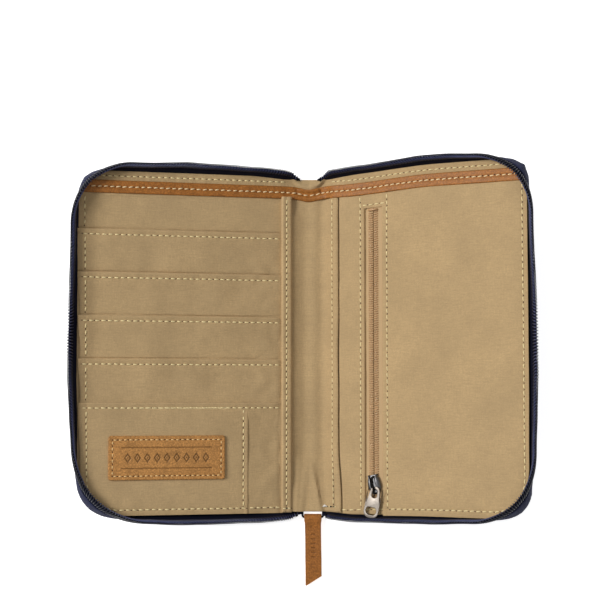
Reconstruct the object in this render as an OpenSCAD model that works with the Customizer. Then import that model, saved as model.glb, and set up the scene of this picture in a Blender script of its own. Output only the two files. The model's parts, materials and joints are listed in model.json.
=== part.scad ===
// Zip-around passport holder, open in a shallow V: a card half and a passport half
// on a soft spine, a coil zip standing round both halves, a zipped inner pocket
// and a leather zip pull. Units: mm. +Z up, +Y to the top edge, origin at the
// centre of the underside of the spine. The card half lies to -X, the passport half to +X.
// In each half u runs outward from its fold line, v along the spine and w up from
// the outside face of the cover.

/* [Body] */
// Width of one half, from its fold line to the cover edge
half_w = 93; // [90:1:96]
// Height of the covers along the spine
cover_h = 148; // [146:1:150]
// Radius of the outer corners of the covers
corner_r = 10; // [8:0.5:14]
// Distance from the middle of the spine to each fold line
fold_x = 8; // [8:0.1:8.4]
// Height of the fold lines above the underside
fold_z = 0.6; // [0.6:0.1:0.8]

/* [Opening] */
// How far the card half stands up from flat (degrees)
left_tilt = 14; // [0:1:30]
// How far the passport half stands up from flat (degrees)
right_tilt = 27; // [0:1:30]

/* [Layers] */
// Thickness of the outside cover fabric
cover_t = 0.6; // [0.4:0.1:0.6]
// Thickness of the stiffening boards
board_t = 1.0; // [0.8:0.1:1.0]
// Thickness of one layer of inner fabric
cloth_t = 0.3; // [0.2:0.05:0.3]
// Thickness of the leather trim and label
leather_t = 0.9; // [0.7:0.1:0.9]

/* [Zip rim] */
// Outward lean of the standing zip tape (degrees)
rim_lean = 30; // [20:1:30]
// Thickness of the zip tape
tape_t = 0.7; // [0.5:0.1:0.7]
// Diameter of the zip coil
coil_d = 1.6; // [1.3:0.1:1.6]

/* [Card pockets] */
// Distance between neighbouring card pockets
pocket_pitch = 18.55; // [18:0.05:18.6]
// Height of the first pocket edge above the middle
pocket_top = 48.8; // [48:0.1:49]
// Length of the leather label
label_l = 49.5; // [44:0.5:50]
// Height of the leather label
label_h = 18.2; // [16:0.1:18.4]

/* [Inner zip pocket] */
// Width of the zip window
window_w = 8.3; // [8:0.1:8.4]
// Length of the pull tab of the inner zip
tab_l = 12.8; // [11:0.1:12.8]
// Sideways lean of the hanging pull tab (degrees)
tab_lean = 8; // [0:1:9]

/* [Leather pull] */
// Width of the leather strap
strap_w = 7.1; // [6:0.1:7.4]
// Length of the leather strap
strap_l = 29.5; // [24:0.5:32]
// Offset of the pull from the middle of the spine
pull_x = 1.7; // [-2:0.1:2]

/* [Hidden] */
$fn = 64;
half_h = cover_h / 2;
cloth_inset = 1.1;                // cloth outline inside the cover size
inner_u = 2.3;                    // inner edge of the stacked layers

// undersides of the layers, fixed so that the thickest layers fit
board_w = cover_t + 0.05;
lining_w = 1.7;
slip_w = 2.05;                    // slip pocket panel of the card half
card_w = 2.4;                     // first card pocket
card_step = 0.34;                 // rise from one card pocket to the next
corner_pocket_w = 4.42;
label_w = 4.77;
passport_w = 2.4;                 // passport pocket panel
back_w = 2.72;                    // back of the zip pocket
right_trim_w = 3.5;
inner_tape_w = 3.55;              // inner zip tapes
front_w = 3.85;                   // front panels of the zip pocket

// levels along the spine
trim_v = 64.4;                    // lower edge of the leather trim
trim_h = 5.4;
panel_low = -72.4;
panel_top = 64.3;
binding_top = 64.2;

beige = [0.71, 0.61, 0.45];
beige_dark = [0.64, 0.54, 0.39];
navy = [0.13, 0.15, 0.28];
navy_dark = [0.05, 0.06, 0.16];
tan_leather = [0.66, 0.44, 0.24];
strap_brown = [0.56, 0.37, 0.18];
board_grey = [0.35, 0.34, 0.33];
tape_tan = [0.78, 0.65, 0.49];
coil_brown = [0.62, 0.47, 0.33];
steel = [0.45, 0.45, 0.45];
nickel = [0.70, 0.66, 0.62];
wire_black = [0.10, 0.10, 0.11];

// ---------- frames and shared shapes ----------
module fold_up(tilt) translate([fold_x, 0, fold_z]) rotate([0, -tilt, 0])
  translate([0, 0, -fold_z]) children();
module right_half() fold_up(right_tilt) children();
module left_half() mirror([1, 0, 0]) fold_up(left_tilt) children();

// [start, end] ranges
function span(start, size) = [start, start + size];
function about(centre, size) = [centre - size / 2, centre + size / 2];

// box given by three ranges: x, y, z on the spine; u, v, w in a half
module block(x, y, z) translate([x[0], y[0], z[0]])
  cube([x[1] - x[0], y[1] - y[0], z[1] - z[0]]);

// plate of a half with rounded outer corners, inset from the cover size
module half_plate(inset, start_u, base_w, thick)
  translate([0, 0, base_w]) linear_extrude(thick) union() {
    translate([start_u, -(half_h - inset)])
      square([half_w - corner_r - start_u, 2 * (half_h - inset)]);
    translate([start_u, -(half_h - corner_r)])
      square([half_w - inset - start_u, 2 * (half_h - corner_r)]);
    for (side = [-1, 1]) translate([half_w - corner_r, side * (half_h - corner_r)])
      circle(r = corner_r - inset);
  }
module cover_plate() half_plate(0, 0.4, 0, cover_t);
module board_plate() half_plate(2.6, inner_u, board_w, board_t);
module lining_plate() half_plate(cloth_inset, inner_u, lining_w, cloth_t);

// sheet from start_u outward, cut to the rounded outline, over the range v
module sheet(start_u, v, base_w, thick = cloth_t) intersection() {
  half_plate(cloth_inset, inner_u, base_w, thick);
  block([start_u, half_w + 1], v, [base_w - 1, base_w + thick + 1]);
}
module trim_strip(base_w) sheet(inner_u, span(trim_v, trim_h), base_w, leather_t);

// ---------- standing zip rim ----------
// radii are measured from the corner centres
foot_r = corner_r - 0.6;          // middle of the tape at its foot
foot_w = 0.65;
tape_top_w = 6.65;
coil_w = 7.5;
coil_start_u = 10.2;
function rim_r(w) = foot_r + tan(rim_lean) * (w - foot_w);

// sweep of a profile (x = radius, y = w) round the three outer sides of a half
module rim_run(start_u) {
  for (flip = [0, 1]) mirror([0, flip, 0]) {
    translate([half_w - corner_r, half_h - corner_r, 0])
      rotate_extrude(angle = 90, $fn = 96) children();
    translate([start_u, half_h - corner_r, 0]) rotate([90, 0, 90])
      linear_extrude(half_w - corner_r - start_u) children();
  }
  translate([half_w - corner_r, half_h - corner_r, 0]) rotate([90, 0, 0])
    linear_extrude(2 * (half_h - corner_r)) children();
}
module rim_tape() difference() {
  rim_run(2.6) polygon([
    [foot_r - tape_t / 2, foot_w], [foot_r + tape_t / 2, foot_w],
    [rim_r(tape_top_w) + tape_t / 2, tape_top_w],
    [rim_r(tape_top_w) - tape_t / 2, tape_top_w]]);
  // sloped start beside the spine; points are [u, w]
  rotate([90, 0, 0]) linear_extrude(cover_h + 40, center = true)
    polygon([[-10, 12], [-10, -1], [2.5, -1], [2.5, 2.6], [13.2, 12]]);
}
module rim_coil() rim_run(coil_start_u)
  translate([rim_r(coil_w), coil_w]) circle(d = coil_d, $fn = 32);
// stop at the start of the coil: side 1 at the top edge, -1 at the bottom edge
module rim_stop(side) block(
  [8.6, 10], about(side * (half_h - corner_r + rim_r(coil_w)), 2), [6.75, 8.25]);

// ---------- spine ----------
spine_w = 15;
// notch in the lower edge of the spine cover, open to the side where only
// a sliver would be left
notch_x0 = pull_x < -0.5 ? -9 : pull_x - 5.4;
notch_x1 = pull_x > 0.5 ? 9 : pull_x + 5.4;
// underside of the lining as [y, z]: raised at the lower end over the slider
lining_path = [[-73.3, 2.25], [-64.4, 2.25], [-60, 1.3], [72.8, 1.3]];

module spine_cover() color(navy) difference() {
  block(about(0, spine_w), about(0, cover_h - 1.4), [0, cover_t]);
  block([notch_x0, notch_x1], span(-half_h - 1, 10.2), [-1, 2]);
}
module spine_stiffener() color(board_grey)
  block([-6, 6], [-63.5, 69.5], span(board_w, 0.55));
module spine_lining() color(beige_dark)
  translate([-spine_w / 2, 0, 0]) rotate([90, 0, 90]) linear_extrude(spine_w)
    polygon(concat(lining_path,
      [for (i = [3:-1:0]) lining_path[i] + [0, cloth_t]]));
module leather_trim_spine() color(tan_leather)
  block(about(0, spine_w), span(trim_v, trim_h), span(1.65, 0.8));

// ---------- main slider and pull ----------
// parked at the lower end of the spine under the lining
bar_y = -71.7;                    // hidden bar of the bail
bar_z = 1.05;
bail_l = 3.7;                     // from the hidden bar to the crossbar
bail_slope = 8;                   // rise of the bail towards the crossbar (degrees)
cross_y = bar_y - bail_l * cos(bail_slope);
cross_z = bar_z + bail_l * sin(bail_slope);
wire_r = 0.5;
arm_x = 4.5;                      // arms of the bail, either side of its middle
main_plate_t = 0.45;
main_slider_z = [0.1, 1.8];       // height range of the side walls and post
fold_half_w = 3.85;               // half width of the leather at its fold
fold_r = 1.4;

// cylinder along x, centred on x = 0
module cross_rod(y, z, radius, length, facets)
  translate([-length / 2, y, z]) rotate([0, 90, 0])
    cylinder(r = radius, h = length, $fn = facets);

module main_slider_body() color(steel) translate([pull_x, 0, 0]) union() {
  for (z = [0.1, 1.4]) block([-3.1, 3.1], [-70.8, -65.4], span(z, main_plate_t));
  for (side = [-1, 1]) block(about(side * 2.8, 0.6), [-70.6, -65.6], main_slider_z);
  block([-0.5, 0.5], [-67.2, -66.2], main_slider_z);
}
module main_slider_bridge() color(steel) translate([pull_x, 0, 0]) difference() {
  block([-1.7, 1.7], [-72.7, -70.9], [0.15, 1.9]);
  cross_rod(bar_y, bar_z, wire_r + 0.05, 10, 48);
}
// wire bail: hidden bar, two arms and the crossbar that carries the leather
module main_pull_bail() color(wire_black)
  translate([pull_x, bar_y, bar_z]) rotate([-bail_slope, 0, 0]) union() {
    for (y = [0, -bail_l]) cross_rod(y, 0, wire_r, 2 * arm_x, 48);
    for (x = [-arm_x, arm_x]) {
      translate([x, 0, 0]) rotate([90, 0, 0]) cylinder(r = wire_r, h = bail_l, $fn = 48);
      for (y = [0, -bail_l]) translate([x, y, 0]) sphere(r = wire_r, $fn = 48);
    }
  }
// leather folded round the crossbar, with shoulders and a slanted end
module leather_pull() color(strap_brown) translate([pull_x, 0, 0]) difference() {
  union() {
    translate([0, cross_y, cross_z - leather_t]) linear_extrude(2 * leather_t) polygon([
      [-fold_half_w, 0.2], [fold_half_w, 0.2], [fold_half_w, -1.3],
      [strap_w / 2, -2.9], [strap_w / 2, -strap_l + 4.3],
      [-strap_w / 2, -strap_l], [-strap_w / 2, -2.9], [-fold_half_w, -1.3]]);
    cross_rod(cross_y, cross_z, fold_r, 2 * fold_half_w, 64);
  }
  cross_rod(cross_y, cross_z, wire_r + 0.08, 12, 64);
}

// ---------- card half ----------
pocket_u = 5.6;                   // spine side of the card pockets
hem_h = 6.5;
label_u = 30.5;
label_top = -39.8;
label_notch = 0.8;                // square notch at each corner of the label
label_end = label_u + label_l;
label_low = label_top - label_h;

function pocket_edge(k) = pocket_top - (k - 1) * pocket_pitch;

module left_outer_cover() color(navy) left_half() cover_plate();
module left_board() color(board_grey) left_half() board_plate();
module left_lining() color(beige) left_half() lining_plate();
module left_zip_tape() color(navy_dark) left_half() rim_tape();
module left_zip_coil() color(navy_dark) left_half() rim_coil();
module left_zip_top_stop() color(steel) left_half() rim_stop(1);
module left_zip_bottom_stop() color(steel) left_half() rim_stop(-1);
module left_slip_pocket_panel() color(beige) left_half()
  sheet(inner_u, [-half_h, 67], slip_w);
module leather_trim_left() color(tan_leather) left_half() trim_strip(card_w);
// card pocket k: a sheet down to the bottom edge with a folded hem along its top
module card_pocket(k) color(beige) left_half() union() {
  base_w = card_w + (k - 1) * card_step;
  sheet(pocket_u, [-half_h, pocket_edge(k)], base_w);
  sheet(pocket_u, [pocket_edge(k) - hem_h, pocket_edge(k)], base_w, 2 * cloth_t);
}
module card_pocket_1() card_pocket(1);
module card_pocket_2() card_pocket(2);
module card_pocket_3() card_pocket(3);
module card_pocket_4() card_pocket(4);
module card_pocket_5() card_pocket(5);
module corner_pocket() color(beige) left_half()
  sheet(19.8, [-half_h, pocket_edge(5) - 0.3], corner_pocket_w);
module label_patch() color(tan_leather) left_half() intersection() {
  block([label_u, label_end], [label_low, label_top], span(label_w, leather_t));
  union() {
    block([label_u - 1.5, label_end + 0.5],
          [label_low + label_notch, label_top - label_notch], [4, 6.5]);
    block([label_u + label_notch, label_end - label_notch],
          [label_low - 1.2, label_top + 1.8], [4, 6.5]);
  }
}
module left_edge_binding() color(beige) left_half()
  block([inner_u, 5.5], [panel_low, binding_top], [2.4, 4.6]);

// ---------- passport half ----------
zip_u = 23.85;                    // centreline of the inner zip
window_u0 = zip_u - window_w / 2;
window_u1 = zip_u + window_w / 2;
window_top = 58.1;
window_low = -68.5;
front_range = span(front_w, 0.5); // w range of the front panels
tab_u = [window_u0 + 0.05, window_u1 - 0.05];
zip_pocket_u = 7.1;               // spine side of the zip pocket
tape_gap = 0.5;                   // from the centreline to each tape
tape_overlap = 1.5;               // tape hidden behind each front panel
inner_tape_v = [-69.5, 61];
inner_tape_range = span(inner_tape_w, 0.25);
bead_v = [-66.9, 56.9];
// bead section as [distance from the centreline, w], with bevelled shoulders
bead_section = [[0.55, 3.85], [1.7, 3.85], [1.7, 4.2], [1.4, 4.5], [0.85, 4.5], [0.55, 4.2]];

module right_outer_cover() color(navy) right_half() cover_plate();
module right_board() color(board_grey) right_half() board_plate();
module right_lining() color(beige) right_half() lining_plate();
module right_zip_tape() color(navy_dark) right_half() rim_tape();
module right_zip_coil() color(navy_dark) right_half() rim_coil();
module right_zip_top_stop() color(steel) right_half() rim_stop(1);
module right_zip_bottom_stop() color(steel) right_half() rim_stop(-1);
module passport_pocket_panel() color(beige) right_half()
  sheet(inner_u, [-half_h, 67], passport_w);
module leather_trim_right() color(tan_leather) right_half() trim_strip(right_trim_w);
module zip_pocket_back() color(beige) right_half()
  sheet(zip_pocket_u, [-half_h, 66], back_w);
module zip_pocket_narrow_panel() color(beige) right_half()
  block([zip_pocket_u, window_u0], [panel_low, panel_top], front_range);
module zip_pocket_wide_panel() color(beige) right_half()
  sheet(window_u1, [-half_h, panel_top], front_w, 0.5);
module zip_pocket_top_tab() color(beige) right_half()
  block(tab_u, [window_top, panel_top], front_range);
module zip_pocket_bottom_tab() color(beige) right_half()
  block(tab_u, [panel_low, window_low], front_range);
module pocket_zip_tape_left() color(tape_tan) right_half()
  block([window_u0 - tape_overlap, zip_u - tape_gap], inner_tape_v, inner_tape_range);
module pocket_zip_tape_right() color(tape_tan) right_half()
  block([zip_u + tape_gap, window_u1 + tape_overlap], inner_tape_v, inner_tape_range);
// coil bead on the outer side of the centreline
module bead() rotate([90, 0, 0]) translate([0, 0, -bead_v[1]])
  linear_extrude(bead_v[1] - bead_v[0]) polygon(bead_section);
module pocket_zip_coil_left() color(coil_brown) right_half()
  translate([zip_u, 0, 0]) mirror([1, 0, 0]) bead();
module pocket_zip_coil_right() color(coil_brown) right_half()
  translate([zip_u, 0, 0]) bead();
module inner_stop(v) block(about(zip_u, 3.4), v, [front_w, 4.6]);
module pocket_zip_top_stop() color(steel) right_half() inner_stop([57, 58]);
module pocket_zip_bottom_stop() color(steel) right_half() inner_stop([-68.3, -67]);
module right_edge_binding() color(beige) right_half()
  block([inner_u, 7], [panel_low, binding_top], [2.75, 4.5]);

// ---------- inner zip slider ----------
slider_v = -60.8;                 // parked centre of the slider
slider_l = 8.4;
pivot_v = slider_v - 2;           // hinge of the pull tab
pivot_w = 5.85;
widest = 0.55;                    // widest place, as a fraction from the upper end
arch_v = [-1.65, 5.9];            // ends of the arch, from the hinge
arch_foot_l = 0.9;
tab_t = 0.8;
// outer side of the pull tab from the hinge down, as [x, y]
tab_side = [[1.6, 0.45], [1.9, 0.15], [2.3, -2.2], [2.45, -3.0], [3.3, -5.6], [3.5, -6.6]];

// half width of the slider plates, t from 0 at the upper end to 1 at the lower end
function slider_half_w(t) = t < widest
  ? 2.45 + 0.6 * sin(t / widest * 90)
  : 3.05 - 1.25 * (1 - cos((t - widest) / (1 - widest) * 90));
function slider_point(side, i) =
  [side * slider_half_w(i / 10), slider_l / 2 - slider_l * i / 10];
module slider_plate() polygon(concat(
  [for (i = [0:10]) slider_point(1, i)],
  [for (i = [10:-1:0]) slider_point(-1, i)]));

module pocket_slider_body() color(steel) right_half() translate([zip_u, slider_v, 0]) union() {
  translate([0, 0, 3.05]) linear_extrude(0.42) slider_plate();
  translate([0, 0, 4.6]) linear_extrude(0.6) slider_plate();
  // side flanges hold the beads in
  translate([0, 0, 3.9]) linear_extrude(1.0) difference() {
    slider_plate();
    translate([-1.8, -5]) square([3.6, 10]);
  }
  // post between the two tapes joins the plates
  block([-0.38, 0.38], [1.6, 3.6], [3.2, 4.8]);
}
// arch over the slider that carries the pull tab
module pocket_slider_bridge() color(steel) right_half() translate([zip_u, pivot_v, 0]) union() {
  for (v = [arch_v[0], arch_v[1] - arch_foot_l])
    block([-0.6, 0.6], span(v, arch_foot_l), [5.25, 6.85]);
  block([-0.6, 0.6], arch_v, span(pivot_w + 0.7, 0.6));
}

function arc(centre, radius, start, end, steps) = [for (i = [0:steps])
  let (angle = start + (end - start) * i / steps)
  centre + radius * [cos(angle), sin(angle)]];

// pull tab: a bar under the arch, a small opening, a wide lower opening
module pocket_pull_tab() color(nickel) right_half()
  translate([zip_u, pivot_v, pivot_w - tab_t / 2])
  rotate([0, 0, -tab_lean]) linear_extrude(tab_t) difference() {
    polygon(concat(
      [for (point = tab_side) [-point.x, point.y]],
      arc([-0.65, 3.3 - tab_l], 2.85, 180, 270, 12),
      arc([0.65, 3.3 - tab_l], 2.85, 270, 360, 12),
      [for (i = [5:-1:0]) tab_side[i]]));
    polygon(concat(arc([0, -2.5], 1.3, 180, 360, 16),
      [[1.3, -0.95], [0.9, -0.55], [-0.9, -0.55], [-1.3, -0.95]]));
    polygon(concat(arc([0.65, 3.6 - tab_l], 1.75, -90, 90, 16),
      arc([-0.65, 3.6 - tab_l], 1.75, 90, 270, 16)));
  }

spine_cover();
spine_stiffener();
spine_lining();
leather_trim_spine();
main_slider_body();
main_slider_bridge();
main_pull_bail();
leather_pull();
left_outer_cover();
left_board();
left_lining();
left_zip_tape();
left_zip_coil();
left_zip_top_stop();
left_zip_bottom_stop();
left_slip_pocket_panel();
leather_trim_left();
card_pocket_1();
card_pocket_2();
card_pocket_3();
card_pocket_4();
card_pocket_5();
corner_pocket();
label_patch();
left_edge_binding();
right_outer_cover();
right_board();
right_lining();
right_zip_tape();
right_zip_coil();
right_zip_top_stop();
right_zip_bottom_stop();
passport_pocket_panel();
leather_trim_right();
zip_pocket_back();
zip_pocket_narrow_panel();
zip_pocket_wide_panel();
zip_pocket_top_tab();
zip_pocket_bottom_tab();
pocket_zip_tape_left();
pocket_zip_tape_right();
pocket_zip_coil_left();
pocket_zip_coil_right();
pocket_zip_top_stop();
pocket_zip_bottom_stop();
right_edge_binding();
pocket_slider_body();
pocket_slider_bridge();
pocket_pull_tab();
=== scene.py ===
"""A travel wallet lying open on its covers: card half to the left (-x), passport half to the right.

The frame has x across the spine, y along it and z up, in metres. Each half is worked out in mm in
its own coordinates: u from its fold at the spine towards the outer edge, v along the spine and
w up through the layers. place() takes (u, v, w) of a half to the frame.
"""
import json
import math
from functools import lru_cache

import bmesh
import bpy
import numpy as np
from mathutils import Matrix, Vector


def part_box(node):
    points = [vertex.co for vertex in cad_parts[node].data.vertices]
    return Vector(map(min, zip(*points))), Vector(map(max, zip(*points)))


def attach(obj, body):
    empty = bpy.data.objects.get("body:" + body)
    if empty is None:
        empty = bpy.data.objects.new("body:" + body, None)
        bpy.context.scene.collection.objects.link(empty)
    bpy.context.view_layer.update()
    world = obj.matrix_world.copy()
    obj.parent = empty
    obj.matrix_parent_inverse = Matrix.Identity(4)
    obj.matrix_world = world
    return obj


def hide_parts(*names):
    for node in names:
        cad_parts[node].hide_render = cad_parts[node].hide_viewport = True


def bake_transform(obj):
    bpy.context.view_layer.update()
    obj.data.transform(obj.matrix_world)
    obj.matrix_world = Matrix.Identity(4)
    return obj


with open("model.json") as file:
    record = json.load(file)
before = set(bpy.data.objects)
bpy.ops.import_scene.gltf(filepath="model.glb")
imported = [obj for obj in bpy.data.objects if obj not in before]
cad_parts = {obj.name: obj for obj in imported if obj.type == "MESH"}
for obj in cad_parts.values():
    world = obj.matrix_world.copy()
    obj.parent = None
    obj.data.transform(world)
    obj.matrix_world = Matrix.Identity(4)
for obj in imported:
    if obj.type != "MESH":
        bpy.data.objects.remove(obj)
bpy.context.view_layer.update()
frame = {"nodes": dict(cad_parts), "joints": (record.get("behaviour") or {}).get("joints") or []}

JOINTS = {joint["name"]: joint for joint in frame["joints"]}
MM = 0.001


def joint_mm(name):
    """Place of a joint in mm."""
    return [c * 1000 for c in JOINTS[name]["pos_m"]]


# ---------------------------------------------------------------- driving sizes (mm)
FULL = {"L": "left", "R": "right"}
BODY = {side: full + "_cover" for side, full in FULL.items()}
TILT = {side: math.radians(-JOINTS[full + "_cover_fold"]["range_deg"][0])
        for side, full in FULL.items()}
HINGE_X, _, HINGE_Z = joint_mm("right_cover_fold")
COVER_REACH, HALF_H = [c * 1000 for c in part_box("right_outer_cover")[1][:2]]
WIDTH = (COVER_REACH - HINGE_X - HINGE_Z * math.sin(TILT["R"])) / math.cos(TILT["R"])
WIDTH = round(WIDTH * 2) / 2            # from the fold to the outer edge
BEND_START, BEND_END = -5.0, 6.0        # the cloth bends between these u
SPINE_U = -8.0                          # inner end of sheets that run on over the spine
CORNER = 10.0                           # upper corner radius of the covers
LOW_CORNER = {"L": 16.0, "R": 12.8}     # lower corners are worn rounder
SEAM = 2.35                             # from a folded edge to its stitching
SEAM_CORNER = 13.0                      # corner radius of the pocket stitching


# ---------------------------------------------------------------- shaping functions
def rise(x, start=0.0, span=1.0):
    """Smooth step from 0 at start to 1 at start + span."""
    t = np.clip((x - start) / span, 0, 1)
    return t * t * (3 - 2 * t)


def fall(x, start, span):
    return 1 - rise(x, start, span)


def bell(x, width):
    return np.exp(-(x / width) ** 2)


def level(*_):
    """The shaping function that adds nothing."""
    return 0.0


def roll_off(edge, radius):
    """Drop of a rounded edge at a distance from it."""
    inside = np.minimum(edge, radius)
    return radius - np.sqrt(np.maximum(radius ** 2 - (radius - inside) ** 2, 0))


@lru_cache(None)
def noise_grid(seed):
    return np.random.RandomState(seed).uniform(-1, 1, (97, 97))


def noise(x, y, scale, seed):
    """Smooth value noise between -1 and 1."""
    grid = noise_grid(seed)
    x = np.asarray(x, float) / scale + 31.7
    y = np.asarray(y, float) / scale + 17.3
    i, j = np.floor(x).astype(int), np.floor(y).astype(int)
    fx, fy = rise(x - i), rise(y - j)
    i0, j0, i1, j1 = i % 97, j % 97, (i + 1) % 97, (j + 1) % 97
    return ((grid[i0, j0] * (1 - fx) + grid[i1, j0] * fx) * (1 - fy)
            + (grid[i0, j1] * (1 - fx) + grid[i1, j1] * fx) * fy)


def place(side, points, bend=False):
    """(u, v, w) of a half in mm to the frame in metres. With bend, the spine end stays flat."""
    u, v, w = np.asarray(points, float).reshape(-1, 3).T
    if side == "R":
        # the passport half sits a little higher along y towards its outer edge
        v = v + rise(u, 8.0, 45.0) * (1.45 + 0.65 * v / 74.0)
    angle = TILT[side] * (rise(u, BEND_START, BEND_END - BEND_START) if bend else 1.0)
    cos, sin = np.cos(angle), np.sin(angle)
    x = HINGE_X + u * cos - (w - HINGE_Z) * sin
    z = HINGE_Z + u * sin + (w - HINGE_Z) * cos
    return np.stack([-x if side == "L" else x, v, z], 1) * MM


def arc(cx, cy, radius, start, end, steps=16):
    """Points of an arc between two angles in degrees, both ends included."""
    angles = [math.radians(start + (end - start) * i / steps) for i in range(steps + 1)]
    return [(cx + radius * math.cos(a), cy + radius * math.sin(a)) for a in angles]


# ---------------------------------------------------------------- materials
def srgb(rgb):
    shares = [c / 255 for c in rgb]
    return (*[c / 12.92 if c <= 0.04045 else ((c + 0.055) / 1.055) ** 2.4 for c in shares], 1.0)


def shade(colour, factor, add=0.0):
    return (*[min(1, c * factor + add) for c in colour[:3]], 1)


class Material:
    """A Principled material in the making. Its methods add nodes and return output sockets."""

    def __init__(self, name, rough, metallic=0.0):
        self.material = bpy.data.materials.new(name)
        self.material.use_nodes = True
        self.tree = self.material.node_tree
        self.shader = self.tree.nodes["Principled BSDF"]
        self.set("Roughness", rough)
        self.set("Metallic", metallic)

    def feed(self, socket, value):
        if isinstance(value, bpy.types.NodeSocket):
            self.tree.links.new(value, socket)
        else:
            socket.default_value = value

    def set(self, name, value):
        self.feed(self.shader.inputs[name], value)

    def node(self, kind, inputs=None, output=0, **settings):
        node = self.tree.nodes.new("ShaderNode" + kind)
        for key, value in settings.items():
            setattr(node, key, value)
        for key, value in (inputs or {}).items():
            self.feed(node.inputs[key], value)
        return node.outputs[output]

    def uv(self, x=1.0, y=1.0):
        """The cloth UV map, whose unit is 10 mm, scaled."""
        vector = self.node("UVMap", uv_map="cloth")
        return self.node("Mapping", {"Vector": vector, "Scale": (x, y, 1)})

    def obj(self, scale=1.0):
        vector = self.node("TexCoord", output="Object")
        return self.node("Mapping", {"Vector": vector, "Scale": (scale,) * 3})

    def noise(self, vector, scale, detail=3, rough=0.5):
        return self.node("TexNoise", {"Scale": scale, "Detail": detail, "Roughness": rough,
                                      "Vector": vector}, "Fac")

    def wave(self, vector, scale, direction, distort, detail):
        return self.node("TexWave", {"Scale": scale, "Distortion": distort,
                                     "Detail Scale": detail, "Vector": vector},
                         "Fac", bands_direction=direction)

    def math(self, operation, *values):
        return self.node("Math", dict(enumerate(values)), operation=operation)

    def times(self, value, factor, add=None):
        if add is None:
            return self.math("MULTIPLY", value, factor)
        return self.math("MULTIPLY_ADD", value, factor, add)

    def ramp(self, value, stops):
        node = self.tree.nodes.new("ShaderNodeValToRGB")
        elements = node.color_ramp.elements
        elements[0].position, elements[0].color = stops[0]
        elements[1].position, elements[1].color = stops[-1]
        for position, colour in stops[1:-1]:
            elements.new(position).color = colour
        self.feed(node.inputs[0], value)
        return node.outputs[0]

    def mask(self, value, *stops):
        """A ramp of greys, from (position, grey) stops."""
        return self.ramp(value, [(position, (grey, grey, grey, 1)) for position, grey in stops])

    def mix(self, factor, base, colour):
        return self.node("Mix", {0: factor, 6: base, 7: colour}, 2, data_type="RGBA")

    def layer(self, base, mask, amount, colour):
        return self.mix(self.times(mask, amount), base, colour)

    def blotches(self, base, colour, rows, shared_uv=None):
        """Noise-masked layers of the shaded colour; a row without UV scale uses shared_uv."""
        for uv_scale, scale, detail, rough, stops, amount, factor in rows:
            vector = self.uv(*uv_scale) if uv_scale else shared_uv
            mask = self.mask(self.noise(vector, scale, detail, rough), *stops)
            base = self.layer(base, mask, amount, shade(colour, factor))
        return base

    def attribute(self, name):
        return self.node("Attribute", output="Fac", attribute_name=name)

    def near_edge(self, width):
        """1 on a folded or cut edge, 0 from width mm on."""
        share = self.math("DIVIDE", self.attribute("edge"), width)
        return self.math("SUBTRACT", 1.0, self.math("MINIMUM", share, 1.0))

    def bump(self, height, strength, distance):
        self.set("Normal", self.node("Bump", {"Strength": strength, "Distance": distance,
                                              "Height": height}))


# UV scale, noise scale, detail, roughness, mask stops, amount, shade factor
CLOTH_BLOTCHES = [
    ((2.2, 5.5), 3.6, 3, 0.7, ((0.55, 0), (0.72, 1)), 0.46, 1.34),      # slubs
    ((1.0, 1.25), 13.0, 2, 0.6, ((0.35, 0), (0.65, 1)), 0.34, 0.70),    # dark grain
    ((0.8, 1.6), 1.5, 7, 0.75, ((0.60, 0), (0.70, 1)), 0.26, 1.28),     # scuffs
]
LEATHER_BLOTCHES = [
    ((1.0, 1.2), 9.0, 5, 0.75, ((0.40, 1), (0.60, 0)), 0.62, 0.50),     # mottling
    ((1.0, 1.0), 15.0, 4, 0.8, ((0.48, 0), (0.60, 1)), 0.62, 1.75),     # pale specks
    (None, 2.6, 6, 0.7, ((0.36, 1), (0.5, 0.25), (0.62, 0)), 0.55, 0.5),    # grime
    ((1.3, 2.0), 6.0, 4, 0.7, ((0.5, 0), (0.66, 1)), 0.40, 1.45),       # pale patches
]


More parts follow.
